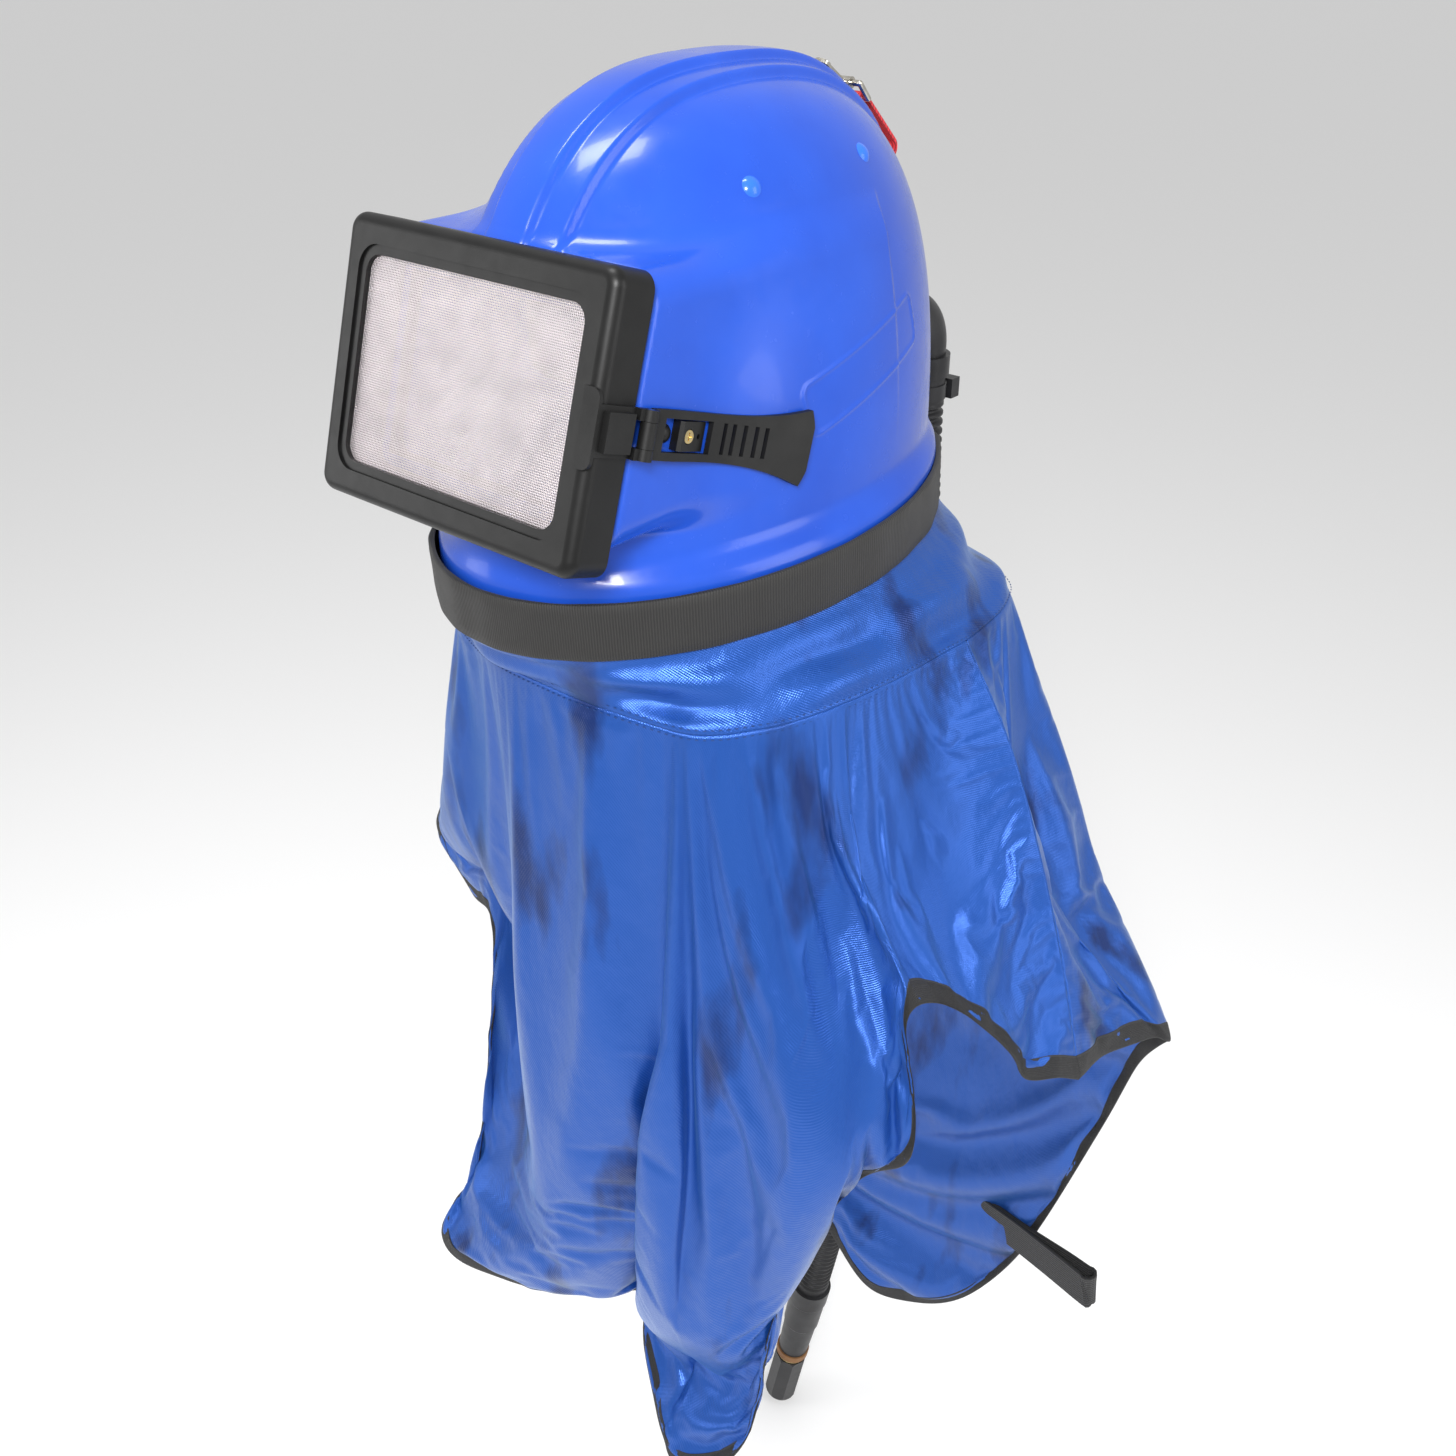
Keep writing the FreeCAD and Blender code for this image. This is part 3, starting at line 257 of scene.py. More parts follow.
def noise(made, size_mm, detail=3.0, stretch=(1, 1, 1)):
    """Noise with features about size_mm across."""
    links = made.node_tree.links
    scaling = add(made, "ShaderNodeMapping")
    scaling.inputs["Scale"].default_value = stretch
    links.new(place(made, uv=False), scaling.inputs["Vector"])
    node = add(made, "ShaderNodeTexNoise")
    node.inputs["Scale"].default_value = 1 / (size_mm * MM)
    node.inputs["Detail"].default_value = detail
    links.new(scaling.outputs["Vector"], node.inputs["Vector"])
    return node.outputs["Fac"]


def ribs(made, pitch_mm, angle, uv=True):
    """Parallel ribs pitch_mm apart, at an angle in degrees to the cloth's width."""
    pitch_at_scale_1 = math.pi / 10
    links = made.node_tree.links
    turn = add(made, "ShaderNodeMapping")
    turn.inputs["Rotation"].default_value = (0, 0, math.radians(angle))
    links.new(place(made, uv), turn.inputs["Vector"])
    node = add(made, "ShaderNodeTexWave", wave_type="BANDS", bands_direction="X", wave_profile="SIN")
    node.inputs["Scale"].default_value = pitch_at_scale_1 / (pitch_mm * MM)
    links.new(turn.outputs["Vector"], node.inputs["Vector"])
    return node.outputs["Fac"]


def spread(made, value, low, high):
    """A value from 0..1 spread over low..high."""
    node = add(made, "ShaderNodeMapRange")
    node.inputs["To Min"].default_value = low
    node.inputs["To Max"].default_value = high
    made.node_tree.links.new(value, node.inputs["Value"])
    return node.outputs["Result"]


def tint(made, value, first, last, low=0.3, high=0.7):
    """Base colour running from the first to the last as a value goes from low to high."""
    ramp = add(made, "ShaderNodeValToRGB")
    ramp.color_ramp.elements[0].position = low
    ramp.color_ramp.elements[0].color = (*first, 1)
    ramp.color_ramp.elements[1].position = high
    ramp.color_ramp.elements[1].color = (*last, 1)
    links = made.node_tree.links
    links.new(value, ramp.inputs["Fac"])
    links.new(ramp.outputs["Color"], made.node_tree.nodes["Principled BSDF"].inputs["Base Color"])


def rough(made, value, low, high):
    """Roughness running from low to high with a value."""
    target = made.node_tree.nodes["Principled BSDF"].inputs["Roughness"]
    made.node_tree.links.new(spread(made, value, low, high), target)


def relief(made, *layers):
    """Bumps one after another. Each layer is (height value, depth in millimetres)."""
    links = made.node_tree.links
    before = None
    for value, depth in layers:
        node = add(made, "ShaderNodeBump")
        node.inputs["Strength"].default_value = 1.0
        node.inputs["Distance"].default_value = depth * MM
        links.new(value, node.inputs["Height"])
        if before:
            links.new(before, node.inputs["Normal"])
        before = node.outputs["Normal"]
    links.new(before, made.node_tree.nodes["Principled BSDF"].inputs["Normal"])


def gloss_blue(name, dark, light):
    """Glossy moulded plastic with a thin coat and faint waves."""
    made = shader(name, light, 0.2, Coat_Weight=0.2, Coat_Roughness=0.06, Specular_IOR_Level=0.35)
    tint(made, noise(made, 60, 4), dark, light)
    rough(made, noise(made, 9, 5), 0.14, 0.34)
    relief(made, (noise(made, 30, 2), 0.12), (noise(made, 2.2, 2), 0.012))
    return made


def moulding(name, dark, light, low, high, grain=0.02):
    """Moulded plastic or rubber with a fine grain and handling marks."""
    made = shader(name, light, low, Specular_IOR_Level=0.32)
    tint(made, noise(made, 22, 5), dark, light)
    rough(made, noise(made, 7, 5), low, high)
    relief(made, (noise(made, 0.9, 2), grain))
    return made


def metal(name, color, low, high):
    """Plated or bare metal with fine scratches."""
    made = shader(name, color, low, Metallic=1.0)
    tint(made, noise(made, 5, 4), tuple(c * 0.7 for c in color), color)
    rough(made, noise(made, 3, 4), low, high)
    relief(made, (noise(made, 0.6, 2, stretch=(1, 6, 1)), 0.006))
    return made


def twill():
    """Satin nylon: diagonal weave, broad bluish sheen, soft creases and long darker streaks of painted
    crease shadow.
    """
    blue = (0.012, 0.08, 0.37)
    painted_crease_shade = (0.003, 0.024, 0.14)
    made = shader("cape_twill", blue, 0.4, Metallic=0.5, Specular_IOR_Level=0.6,
                  Sheen_Weight=0.1, Sheen_Roughness=0.4, Sheen_Tint=(0.25, 0.6, 1.0, 1), Anisotropic=0.3)
    # Long dark navy streaks from this noise are painted crease shadow in the base colour.
    tint(made, noise(made, 42, 6, stretch=(1, 1, 0.3)), blue, painted_crease_shade, 0.56, 0.68)
    rough(made, noise(made, 1.1, 2), 0.26, 0.36)
    relief(made, (noise(made, 26, 4, stretch=(1, 1, 0.55)), 2.2), (ribs(made, 1.3, 52), 0.09),
           (ribs(made, 1.3, -38), 0.035))
    return made


def webbing(name, dark, light, pitch, uv=True, angle=90):
    """Woven tape: ribs across it and finer ones along it, with painted shade in the grooves between the
    ribs.
    """
    made = shader(name, light, 0.75, Sheen_Weight=0.04, Sheen_Roughness=0.5)
    # Colour follows the rib height used for the bumps below: the darker rib grooves are painted shade.
    tint(made, ribs(made, pitch, angle, uv), dark, light, 0.1, 0.8)
    rough(made, noise(made, 2, 2), 0.6, 0.85)
    fine = ribs(made, pitch * 0.45, angle + 90, uv)
    relief(made, (ribs(made, pitch, angle, uv), 0.35), (fine, 0.12))
    return made


def clear_lens():
    """Clear polycarbonate with faint wiping marks."""
    made = shader("clear_lens", (0.93, 0.97, 0.96), 0.03, Transmission_Weight=1.0, IOR=1.5)
    rough(made, noise(made, 14, 5), 0.02, 0.1)
    relief(made, (noise(made, 40, 2), 0.02))
    return made


def screen_wire():
    """Bright drawn wire."""
    made = shader("screen_wire", (0.84, 0.77, 0.79), 0.35, Metallic=0.85)
    tint(made, noise(made, 14, 3), (0.74, 0.68, 0.7), (0.86, 0.79, 0.81))
    rough(made, noise(made, 2, 2), 0.28, 0.45)
    return made


def band_finish():
    """Dark elastic with fine upright ribs and painted shade in the valleys between them."""
    made = shader("ribbed_elastic", (0.02, 0.019, 0.018), 0.7, Sheen_Weight=0.05)
    # Colour follows the rib height used for the bumps below: the darker rib valleys are painted shade.
    tint(made, ribs(made, 1.5, 0), (0.006, 0.006, 0.006), (0.019, 0.018, 0.017), 0.05, 0.8)
    rough(made, noise(made, 12, 4), 0.55, 0.8)
    relief(made, (ribs(made, 1.5, 0), 0.22), (noise(made, 18, 3), 0.35))
    return made


BLUE = gloss_blue("shell_plastic", (0.01, 0.06, 0.42), (0.013, 0.075, 0.49))
RIVET_BLUE = gloss_blue("rivet_plastic", (0.02, 0.12, 0.62), (0.03, 0.15, 0.7))
SATIN = moulding("satin_black", (0.003, 0.003, 0.003), (0.006, 0.006, 0.006), 0.33, 0.48)
RUBBER = moulding("black_rubber", (0.004, 0.004, 0.004), (0.009, 0.009, 0.009), 0.38, 0.6, 0.03)
FITTING = moulding("fitting_black", (0.01, 0.01, 0.011), (0.022, 0.022, 0.024), 0.25, 0.45)
HARNESS = moulding("harness_grey", (0.04, 0.042, 0.046), (0.06, 0.062, 0.066), 0.4, 0.55)
HOSE = moulding("hose_rubber", (0.008, 0.008, 0.009), (0.02, 0.02, 0.022), 0.35, 0.55, 0.03)
CUFF = moulding("cuff_rubber", (0.012, 0.012, 0.013), (0.03, 0.03, 0.032), 0.3, 0.5, 0.03)
BROWN = moulding("brown_rubber", (0.12, 0.05, 0.02), (0.26, 0.13, 0.05), 0.5, 0.7, 0.05)
NICKEL = metal("nickel_plate", (0.62, 0.59, 0.52), 0.14, 0.35)
BRASS = metal("passivated_brass", (0.76, 0.6, 0.3), 0.2, 0.4)
WIRE = screen_wire()
LENS = clear_lens()
TWILL = twill()
TAPE = webbing("tape_binding", (0.005, 0.005, 0.006), (0.014, 0.014, 0.016), 1.2)
STRAP = webbing("elastic_webbing", (0.006, 0.006, 0.006), (0.028, 0.028, 0.03), 2.4)
RED = webbing("red_webbing", (0.32, 0.006, 0.012), (0.72, 0.03, 0.04), 1.6, uv=False, angle=40)
DARK_WEB = webbing("harness_webbing", (0.008, 0.008, 0.008), (0.03, 0.03, 0.03), 1.6, uv=False, angle=30)
PAD = webbing("sweatband_cloth", (0.02, 0.02, 0.024), (0.06, 0.06, 0.07), 0.9, uv=False, angle=20)
THREAD = moulding("sewing_thread", (0.006, 0.03, 0.13), (0.012, 0.05, 0.2), 0.55, 0.7)
ELASTIC = band_finish()

NODE_FINISH = {
    "window_frame": SATIN, "lens_retainer": SATIN, "inner_lens_frame": SATIN, "hinge_bracket": SATIN,
    "latch_catch": SATIN, "latch_stud": SATIN, "ratchet_knob": SATIN,
    "latch_strap": RUBBER, "latch_anchor": RUBBER, "lens_gasket": RUBBER, "window_gasket": RUBBER,
    "inner_seal": RUBBER, "inlet_seal": RUBBER,
    "outer_lens": LENS, "inner_lens": LENS,
    "lens_screws": NICKEL, "lens_posts": NICKEL, "hinge_pin": NICKEL, "hinge_screws": NICKEL,
    "latch_pin": NICKEL, "latch_nut": NICKEL, "hang_bracket": NICKEL, "hang_bolt": NICKEL,
    "hang_ring": NICKEL, "hose_clamp": FITTING,
    "latch_screw": BRASS, "connector_nipple": BRASS,
    "suspension_rivets": RIVET_BLUE,
    "headband": HARNESS, "headband_buttons": HARNESS, "ratchet_housing": HARNESS,
    "air_inlet_elbow": FITTING, "inlet_nut": FITTING, "air_diffuser": FITTING, "coupling_nut": FITTING,
    "hose_cuff": CUFF, "hose_ring": BROWN,
}


def finish_nodes():
    """Gives each CAD node that stays visible its material."""
    for node, finish in NODE_FINISH.items():
        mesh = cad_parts[node].data
        mesh.materials.clear()
        mesh.materials.append(finish)


# ---- shell ---------------------------------------------------------------------------------------

def soft_max(a, b, width):
    """The larger of two reaches, rounded where they are within width of each other."""
    return np.maximum(a, b) + np.maximum(width - np.abs(a - b), 0) ** 2 / (4 * width)


def soft_step(value, low, high):
    """0 below low, 1 above high and a smooth rise between."""
    t = np.clip((value - low) / (high - low), 0, 1)
    return t * t * (3 - 2 * t)


def reach(ways, outside):
    """How far each ray from the centre runs before outside(point) turns positive."""
    low = np.zeros(ways.shape[:-1])
    high = np.full(ways.shape[:-1], 400.0)
    for _ in range(34):
        middle = (low + high) / 2
        out = outside(CENTRE + ways * middle[..., None]) > 0
        high = np.where(out, middle, high)
        low = np.where(out, low, middle)
    return low


def dome_outside(rise, longer):
    """Test for points outside the dome, made higher and wider by rise and longer by longer."""
    half_width, half_length, base, height, power, shift = DOME

    def outside(p):
        t = (p[..., 2] - base) / (height + rise)
        along = (p[..., 1] - shift * np.clip(t, 0, 1)) / (half_length + longer)
        out = np.hypot(p[..., 0] / (half_width + rise), along)
        return out ** power + np.clip(t, 0, None) ** power - 1
    return outside


def window_outside(p):
    """Block with rounded corners behind the leaning window plane."""
    half_width, half_height, middle_z, corner, rearmost = WINDOW_BLOCK
    dx = np.abs(p[..., 0]) - (half_width - corner)
    dz = np.abs(p[..., 2] - middle_z) - (half_height - corner)
    side = np.hypot(np.maximum(dx, 0), np.maximum(dz, 0)) + np.minimum(np.maximum(dx, dz), 0) - corner
    out = np.array((0.0, -math.cos(WINDOW_LEAN), math.sin(WINDOW_LEAN)))
    front = (p - WINDOW_POINT) @ out + WINDOW_SEAT
    return np.maximum(soft_max(side, front, 3.0), p[..., 1] - rearmost)


def rim_outside(p):
    """Rim wall, the slope above it, and a taper that ends inside the dome."""
    up = p[..., 2] - RIM_Z - np.tan(RIM_PITCH) * p[..., 1]
    heights, half_widths, half_lengths = zip(*RIM_SLOPE)
    wide = np.interp(up, heights, half_widths)
    long = np.interp(up, heights, half_lengths)
    return np.maximum(np.hypot(p[..., 0] / wide, p[..., 1] / long) - 1, (up - heights[-1]) / 100)


def shell_points(turns, rows):
    """Outer face of the shell, row by row from the rim to the crest."""
    around = 2 * np.pi * np.arange(turns) / turns
    plan = 1 / np.hypot(np.cos(around) / RIM_WALL[0], np.sin(around) / RIM_WALL[1])
    edge_z = RIM_Z + 1.5 + np.tan(RIM_PITCH) * plan * np.sin(around)
    low = np.arctan2(edge_z - CENTRE[2], plan)
    share = np.linspace(0, 1, rows)[:, None]
    rise = low[None] + (math.pi / 2 - low[None]) * share
    ways = np.stack([np.cos(rise) * np.cos(around), np.cos(rise) * np.sin(around), np.sin(rise)], axis=2)
    far = reach(ways, dome_outside(0, 0))
    for half, higher, longer in TIERS:
        tier = reach(ways, dome_outside(higher, longer))
        hit = CENTRE + ways * far[..., None]
        on = soft_step(half + 1.2 - np.abs(hit[..., 0]), 0, 3.4) * soft_step(hit[..., 2], -4, 30)
        far = far + np.maximum(tier - far, 0) * on
    far = soft_max(far, reach(ways, window_outside), WINDOW_BLEND)
    far = soft_max(far, reach(ways, rim_outside), RIM_BLEND)
    hit = CENTRE + ways * far[..., None]
    ridge_height, ridge_width = PANEL_RIDGE
    far = far + ridge_height * np.exp(-(outline_distance(hit) / ridge_width) ** 2) * (hit[..., 0] > 0)
    return CENTRE + ways * far[..., None]


def outline_distance(p):
    """Distance from the plain raised outline on the left side of the shell."""
    (mid_y, mid_z), (half_y, half_z), tilt = PANEL
    y, z = p[..., 1] - mid_y, p[..., 2] - mid_z
    along = y * math.cos(tilt) + z * math.sin(tilt)
    up = z * math.cos(tilt) - y * math.sin(tilt)
    dx = np.abs(along) - (half_y - PANEL_CORNER)
    dz = np.abs(up) - (half_z - PANEL_CORNER)
    inside = np.minimum(np.maximum(dx, dz), 0)
    return np.abs(np.hypot(np.maximum(dx, 0), np.maximum(dz, 0)) + inside - PANEL_CORNER)


def window_matrix():
    """From the window's own frame to the row frame, in metres."""
    turn = Matrix.Rotation(math.pi / 2 - WINDOW_LEAN, 4, "X")
    return Matrix.Translation(Vector(WINDOW_POINT * MM)) @ turn


def shell():
    """The moulded shell with its walls and its lookout behind the window."""
    turns, rows = 640, 250
    points = shell_points(turns, rows)
    faces = grid_faces(rows, turns, wrap=True)
    thing = piece("shell_skin", points.reshape(-1, 3), faces, BLUE)
    wall = thing.modifiers.new("wall", "SOLIDIFY")
    wall.thickness = 3 * MM
    wall.offset = -1
    cutter = box_at_window(*LOOKOUT, -60, 5)
    cut = thing.modifiers.new("lookout", "BOOLEAN")
    cut.object = cutter
    cut.solver = "EXACT"
    baked(thing)
    bpy.data.objects.remove(cutter)
    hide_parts("helmet_shell")


def box_at_window(width, height, low, high):
    """Plain box standing on the window, used as a cutting tool."""
    mesh = bpy.data.meshes.new("cutter")
    work = bmesh.new()
    bmesh.ops.create_cube(work, size=1)
    bmesh.ops.scale(work, vec=Vector((width, height, high - low)) * MM, verts=work.verts)
    bmesh.ops.translate(work, vec=Vector((0, 0, (low + high) / 2)) * MM, verts=work.verts)
    bmesh.ops.transform(work, matrix=window_matrix(), verts=work.verts)
    work.to_mesh(mesh)
    work.free()
    tool = bpy.data.objects.new("cutter", mesh)
    bpy.context.scene.collection.objects.link(tool)
    return tool


def baked(thing):
    """Applies a piece's modifiers to its mesh."""
    graph = bpy.context.evaluated_depsgraph_get()
    mesh = bpy.data.meshes.new_from_object(thing.evaluated_get(graph))
    thing.modifiers.clear()
    thing.data = mesh


def on_rim(x, y, up):
    """Point given across, along and above the pitched rim."""
    c, s = math.cos(RIM_PITCH), math.sin(RIM_PITCH)
    return (x, y * c - up * s, RIM_Z + y * s + up * c)


def rim_band():
    """Elastic band with rolled edges and slight waves where it grips."""
    half_width, half_length, thick, height = BAND
    turns = 540
    girth_radius = 148.0
    outline = [(-thick, 0.6), (-0.9, -0.1), (0, 1.0), (0.25, 6), (0.1, 16), (0.3, 26), (0, 31),
               (-0.9, height), (-thick, height - 0.6)]
    points = []
    uvs = []
    for i in range(turns + 1):
        angle = 2 * math.pi * i / turns
        wave = 0.35 * math.sin(17 * angle) + 0.25 * math.sin(29 * angle + 1)
        for out, up in outline:
            push = out + (wave if out > -1 else 0)
            x = (half_width + push) * math.cos(angle)
            y = (half_length + push) * math.sin(angle)
            points.append(on_rim(x, y, up + wave * (0.6 if 2 < up < 30 else 0.3)))
            uvs.append((angle * girth_radius, up))
    faces = grid_faces(turns + 1, len(outline))
    thing = piece("rim_elastic", points, faces, ELASTIC, uvs=uvs)
    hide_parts("rim_band")


def at_window(points):
    """Window-local millimetres to the row frame."""
    p = np.asarray(points, float)
    s, c = math.sin(WINDOW_LEAN), math.cos(WINDOW_LEAN)
    y = WINDOW_POINT[1] + p[..., 1] * s - p[..., 2] * c
    z = WINDOW_POINT[2] + p[..., 1] * c + p[..., 2] * s
    return np.stack([p[..., 0], y, z], axis=-1)


def mesh_screen():
    """Woven wire: two layers of flattened wires that pass over and under each other."""
    pitch, half_wide, half_thick, depth, wave = 1.15, 0.34, 0.11, -4.5, 0.2
    width, height = 158.0, 108.0
    rows = []
    faces = []
    start = 0
    for layer, (length, span) in enumerate(((width, height), (height, width))):
        stops = int(length / pitch) + 1
        along = (np.arange(stops) - (stops - 1) / 2) * pitch
        wires = int(span / pitch)
        for i in range(wires + 1):
            side = (i - wires / 2) * pitch
            lift = wave * np.where((np.arange(stops) + i + layer) % 2 == 0, 1, -1)
            for dx, dz in ((-half_wide, 0), (0, half_thick), (half_wide, 0), (0, -half_thick)):
                row = np.stack([along, np.full(stops, side + dx), depth + lift + dz], axis=1)
                rows.append(row if layer == 0 else row[:, [1, 0, 2]])
            for k in range(4):
                a, b = start + k * stops, start + (k + 1) % 4 * stops
                faces += [(a + j, a + j + 1, b + j + 1, b + j) for j in range(stops - 1)]
            start += 4 * stops
    thing = piece("wire_screen", at_window(np.concatenate(rows)), faces, WIRE, body="window")
    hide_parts("mesh_screen")


# ---- cape ----------------------------------------------------------------------------------------

def cloth_grid(columns, rows, steps):
    """Grid of points through columns of points, rows from the seam to the hem."""
    lines = np.array([even(through(column, 12), rows) for column in columns])
    return through(lines, steps).transpose(1, 0, 2)


def folded(grid, folds):
    """Grid pushed along its normals by long soft folds.
    Each fold is (start share along, end share along, from share down, width share, depth in mm)."""
    rows, columns = grid.shape[:2]
    u = np.linspace(0, 1, columns)[None]
    v = np.linspace(0, 1, rows)[:, None]
    push = np.zeros((rows, columns))
    for start, end, top, width, depth in folds:
        middle = start + (end - start) * v
        on = soft_step(v, top, top + 0.25) * (1 - 0.35 * soft_step(v, 0.85, 1))
        push += depth * on * np.exp(-((u - middle) / width) ** 2)
    edge = soft_step(u, 0, 0.03) * soft_step(1 - u, 0, 0.03)
    return grid + normals(grid) * (push * edge)[..., None]


def wrinkled(thing, rows, columns, grow):
    """Cloth simulation with the edges held and a little spare cloth, so the middle buckles into creases."""
    frames = 26
    held = thing.vertex_groups.new(name="held")
    edge = [i * columns + j for i in range(rows) for j in range(columns)
            if i < 2 or i > rows - 3 or j in (0, columns - 1)]
    held.add(edge, 1.0, "REPLACE")
    cloth = thing.modifiers.new("cloth", "CLOTH")
    settings = cloth.settings
    settings.quality = 5
    settings.mass = 0.12
    settings.tension_stiffness = 18
    settings.compression_stiffness = 18
    settings.shear_stiffness = 6
    settings.bending_stiffness = 0.35
    settings.shrink_min = -grow
    settings.vertex_group_mass = "held"
    settings.effector_weights.gravity = 0.12
    cloth.collision_settings.use_collision = False
    scene = bpy.context.scene
    cloth.point_cache.frame_start = 1
    cloth.point_cache.frame_end = frames
    for number in range(1, frames + 1):
        scene.frame_set(number)
    baked(thing)
    scene.frame_set(1)


def thickened(thing, thick):
    """Turns a smoothed sheet into cloth of a thickness in millimetres."""
    finer = thing.modifiers.new("finer", "SUBSURF")
    finer.levels = 1
    wall = thing.modifiers.new("wall", "SOLIDIFY")
    wall.thickness = thick * MM
    wall.offset = 0
    baked(thing)


def edge_tape(name, grid):
    """Binding folded over the hem of a grid of cloth: down the outside, round the edge and up the inside.
    Each line of profile is (side of the cloth and share of the lift, distance from the hem in mm)."""
    width = TAPE_WIDTH
    profile = ((0.15, width), (1, width), (1, width / 2), (1, 1), (0, -1.2),
               (-1, 1), (-1, width / 2), (-1, width), (-0.15, width))
    n = normals(grid)[-1]
    steps = np.linalg.norm(np.diff(grid[::-1], axis=0), axis=2)
    lengths = np.concatenate([np.zeros((1, grid.shape[1])), np.cumsum(steps, axis=0)])
    upward = grid[::-1]

    def inside(distance):
        picked = np.empty((grid.shape[1], 3))
        for j in range(grid.shape[1]):
            for k in range(3):
                picked[j, k] = np.interp(distance, lengths[:, j], upward[:, j, k])
        return picked

    down = upward[0] - inside(4)
    down /= np.linalg.norm(down, axis=1, keepdims=True)
    lines = []
    uvs = []
    along = np.concatenate([[0], np.cumsum(np.linalg.norm(np.diff(grid[-1], axis=0), axis=1))])
    for side, distance in profile:
        base = inside(max(distance, 0)) - down * min(distance, 0)
        lines.append(base + n * TAPE_LIFT * side)
        across = -distance if side < 0 else distance
        uvs.append(np.stack([along, np.full(len(along), across)], axis=1))
    faces = grid_faces(len(lines), grid.shape[1])
    uvs = np.array(uvs).reshape(-1, 2)
    thing = piece(name, np.array(lines).reshape(-1, 3), faces, TAPE, uvs=uvs)
    thickened(thing, 0.5)
    return thing


def stitches(name, line, out):
    """Row of sewn stitches standing a little proud of the cloth."""
    length, gap = 2.6, 1.5
    total = np.linalg.norm(np.diff(line, axis=0), axis=1).sum()
    count = int(total / (length + gap))
    marks = even(line, count * 2)
    lifts = even(out, count * 2)
    points = []
    faces = []
    for i in range(0, len(marks) - 1, 2):
        a, b = marks[i], marks[i + 1]
        up = lifts[i] / np.linalg.norm(lifts[i])
        way = (b - a) / np.linalg.norm(b - a)
        side = np.cross(way, up) * 0.35
        base = len(points)
        for end, s in ((a, 1), (b, -1)):
            points += [end + side + up * 0.2, end + up * 0.75 + way * s * 0.4, end - side + up * 0.2]
        faces += [(base, base + 1, base + 4, base + 3), (base + 1, base + 2, base + 5, base + 4)]
    return piece(name, points, faces, THREAD)


def grid_of(thing, rows, columns):
    """A simulated grid's points again, in millimetres."""
    flat = np.zeros(len(thing.data.vertices) * 3)
    thing.data.vertices.foreach_get("co", flat)
    return flat.reshape(rows, columns, 3) / MM


def flat_area(grid):
    """Area of a grid of cloth in square metres."""
    a = np.cross(grid[1:, 1:] - grid[:-1, :-1], grid[1:, :-1] - grid[:-1, 1:])
    return float(np.linalg.norm(a, axis=2).sum() / 2 * MM * MM)


def cape_panel(name, node, columns, folds, grow):
    """One panel of the cape with its binding. Returns both, the cloth's grid and its flat area."""
    rows, steps = 120, 11
    grid = folded(cloth_grid(columns, rows, steps), folds)
    count = grid.shape[1]
    area = flat_area(grid)
    thing = piece(name, grid.reshape(-1, 3), grid_faces(rows, count), TWILL, uvs=grid_uvs(grid))
    wrinkled(thing, rows, count, grow)
    grid = grid_of(thing, rows, count)
    thickened(thing, 1.0)
    tape = edge_tape(name + "_tape", grid)
    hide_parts(node + "_panel")
    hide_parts(node + "_binding")
    return thing, tape, grid, area


def yoke():
    """Collar from under the band out to the yoke seam, with soft cross folds."""
    turns, rows = 216, 26
    seam = even(through(YOKE_SEAM + YOKE_SEAM[:1], 12), turns + 1)[:-1]
    points = []
    for point in seam:
        angle = math.atan2(point[1] / 167, point[0] / 119)
        x, y = 118.6 * math.cos(angle), 166.6 * math.sin(angle)
        inner = np.array(on_rim(x, y, 14))
        edge = np.array(on_rim(x, y, -2))
        bulge = edge * 0.55 + point * 0.45 + (0, 0, 3)
        points.append([inner, np.array(on_rim(x, y, 3)), edge, bulge, point])
    grid = np.array([even(through(p, 6), rows) for p in points]).transpose(1, 0, 2)
    v = np.linspace(0, 1, rows)[:, None]
    around = np.linspace(0, 2 * np.pi, turns, endpoint=False)[None]
    swell = soft_step(v, 0.3, 0.62) * (1 - soft_step(v, 0.9, 1))
    wave = (2.6 * np.sin(4 * around + 11 * v) + 2.0 * np.sin(6 * around - 12 * v + 1)
            + 0.8 * np.sin(15 * around + 6 * v))
    wrapped = np.concatenate([grid, grid[:, :1]], axis=1)
    n = -normals(wrapped)[:, :-1]
    sign = np.sign((n[..., :2] * grid[..., :2]).sum(axis=2, keepdims=True))
    grid = grid + n * sign * (swell * wave)[..., None]
    faces = grid_faces(rows, turns, wrap=True)
    thing = piece("yoke_cloth", grid.reshape(-1, 3), faces, TWILL, uvs=grid_uvs(grid))
    thickened(thing, 1.0)
    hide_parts("cape_yoke")
    line = np.concatenate([seam, seam[:1]])
    out = np.stack([line[:, 0] / 150, line[:, 1] / 170, np.full(len(line), 0.9)], axis=1)
    sewn = [stitches("yoke_stitch_" + str(i), line + out * 0.9 + np.array((0, 0, drop)), out)
            for i, drop in enumerate((2.2, -3.5))]


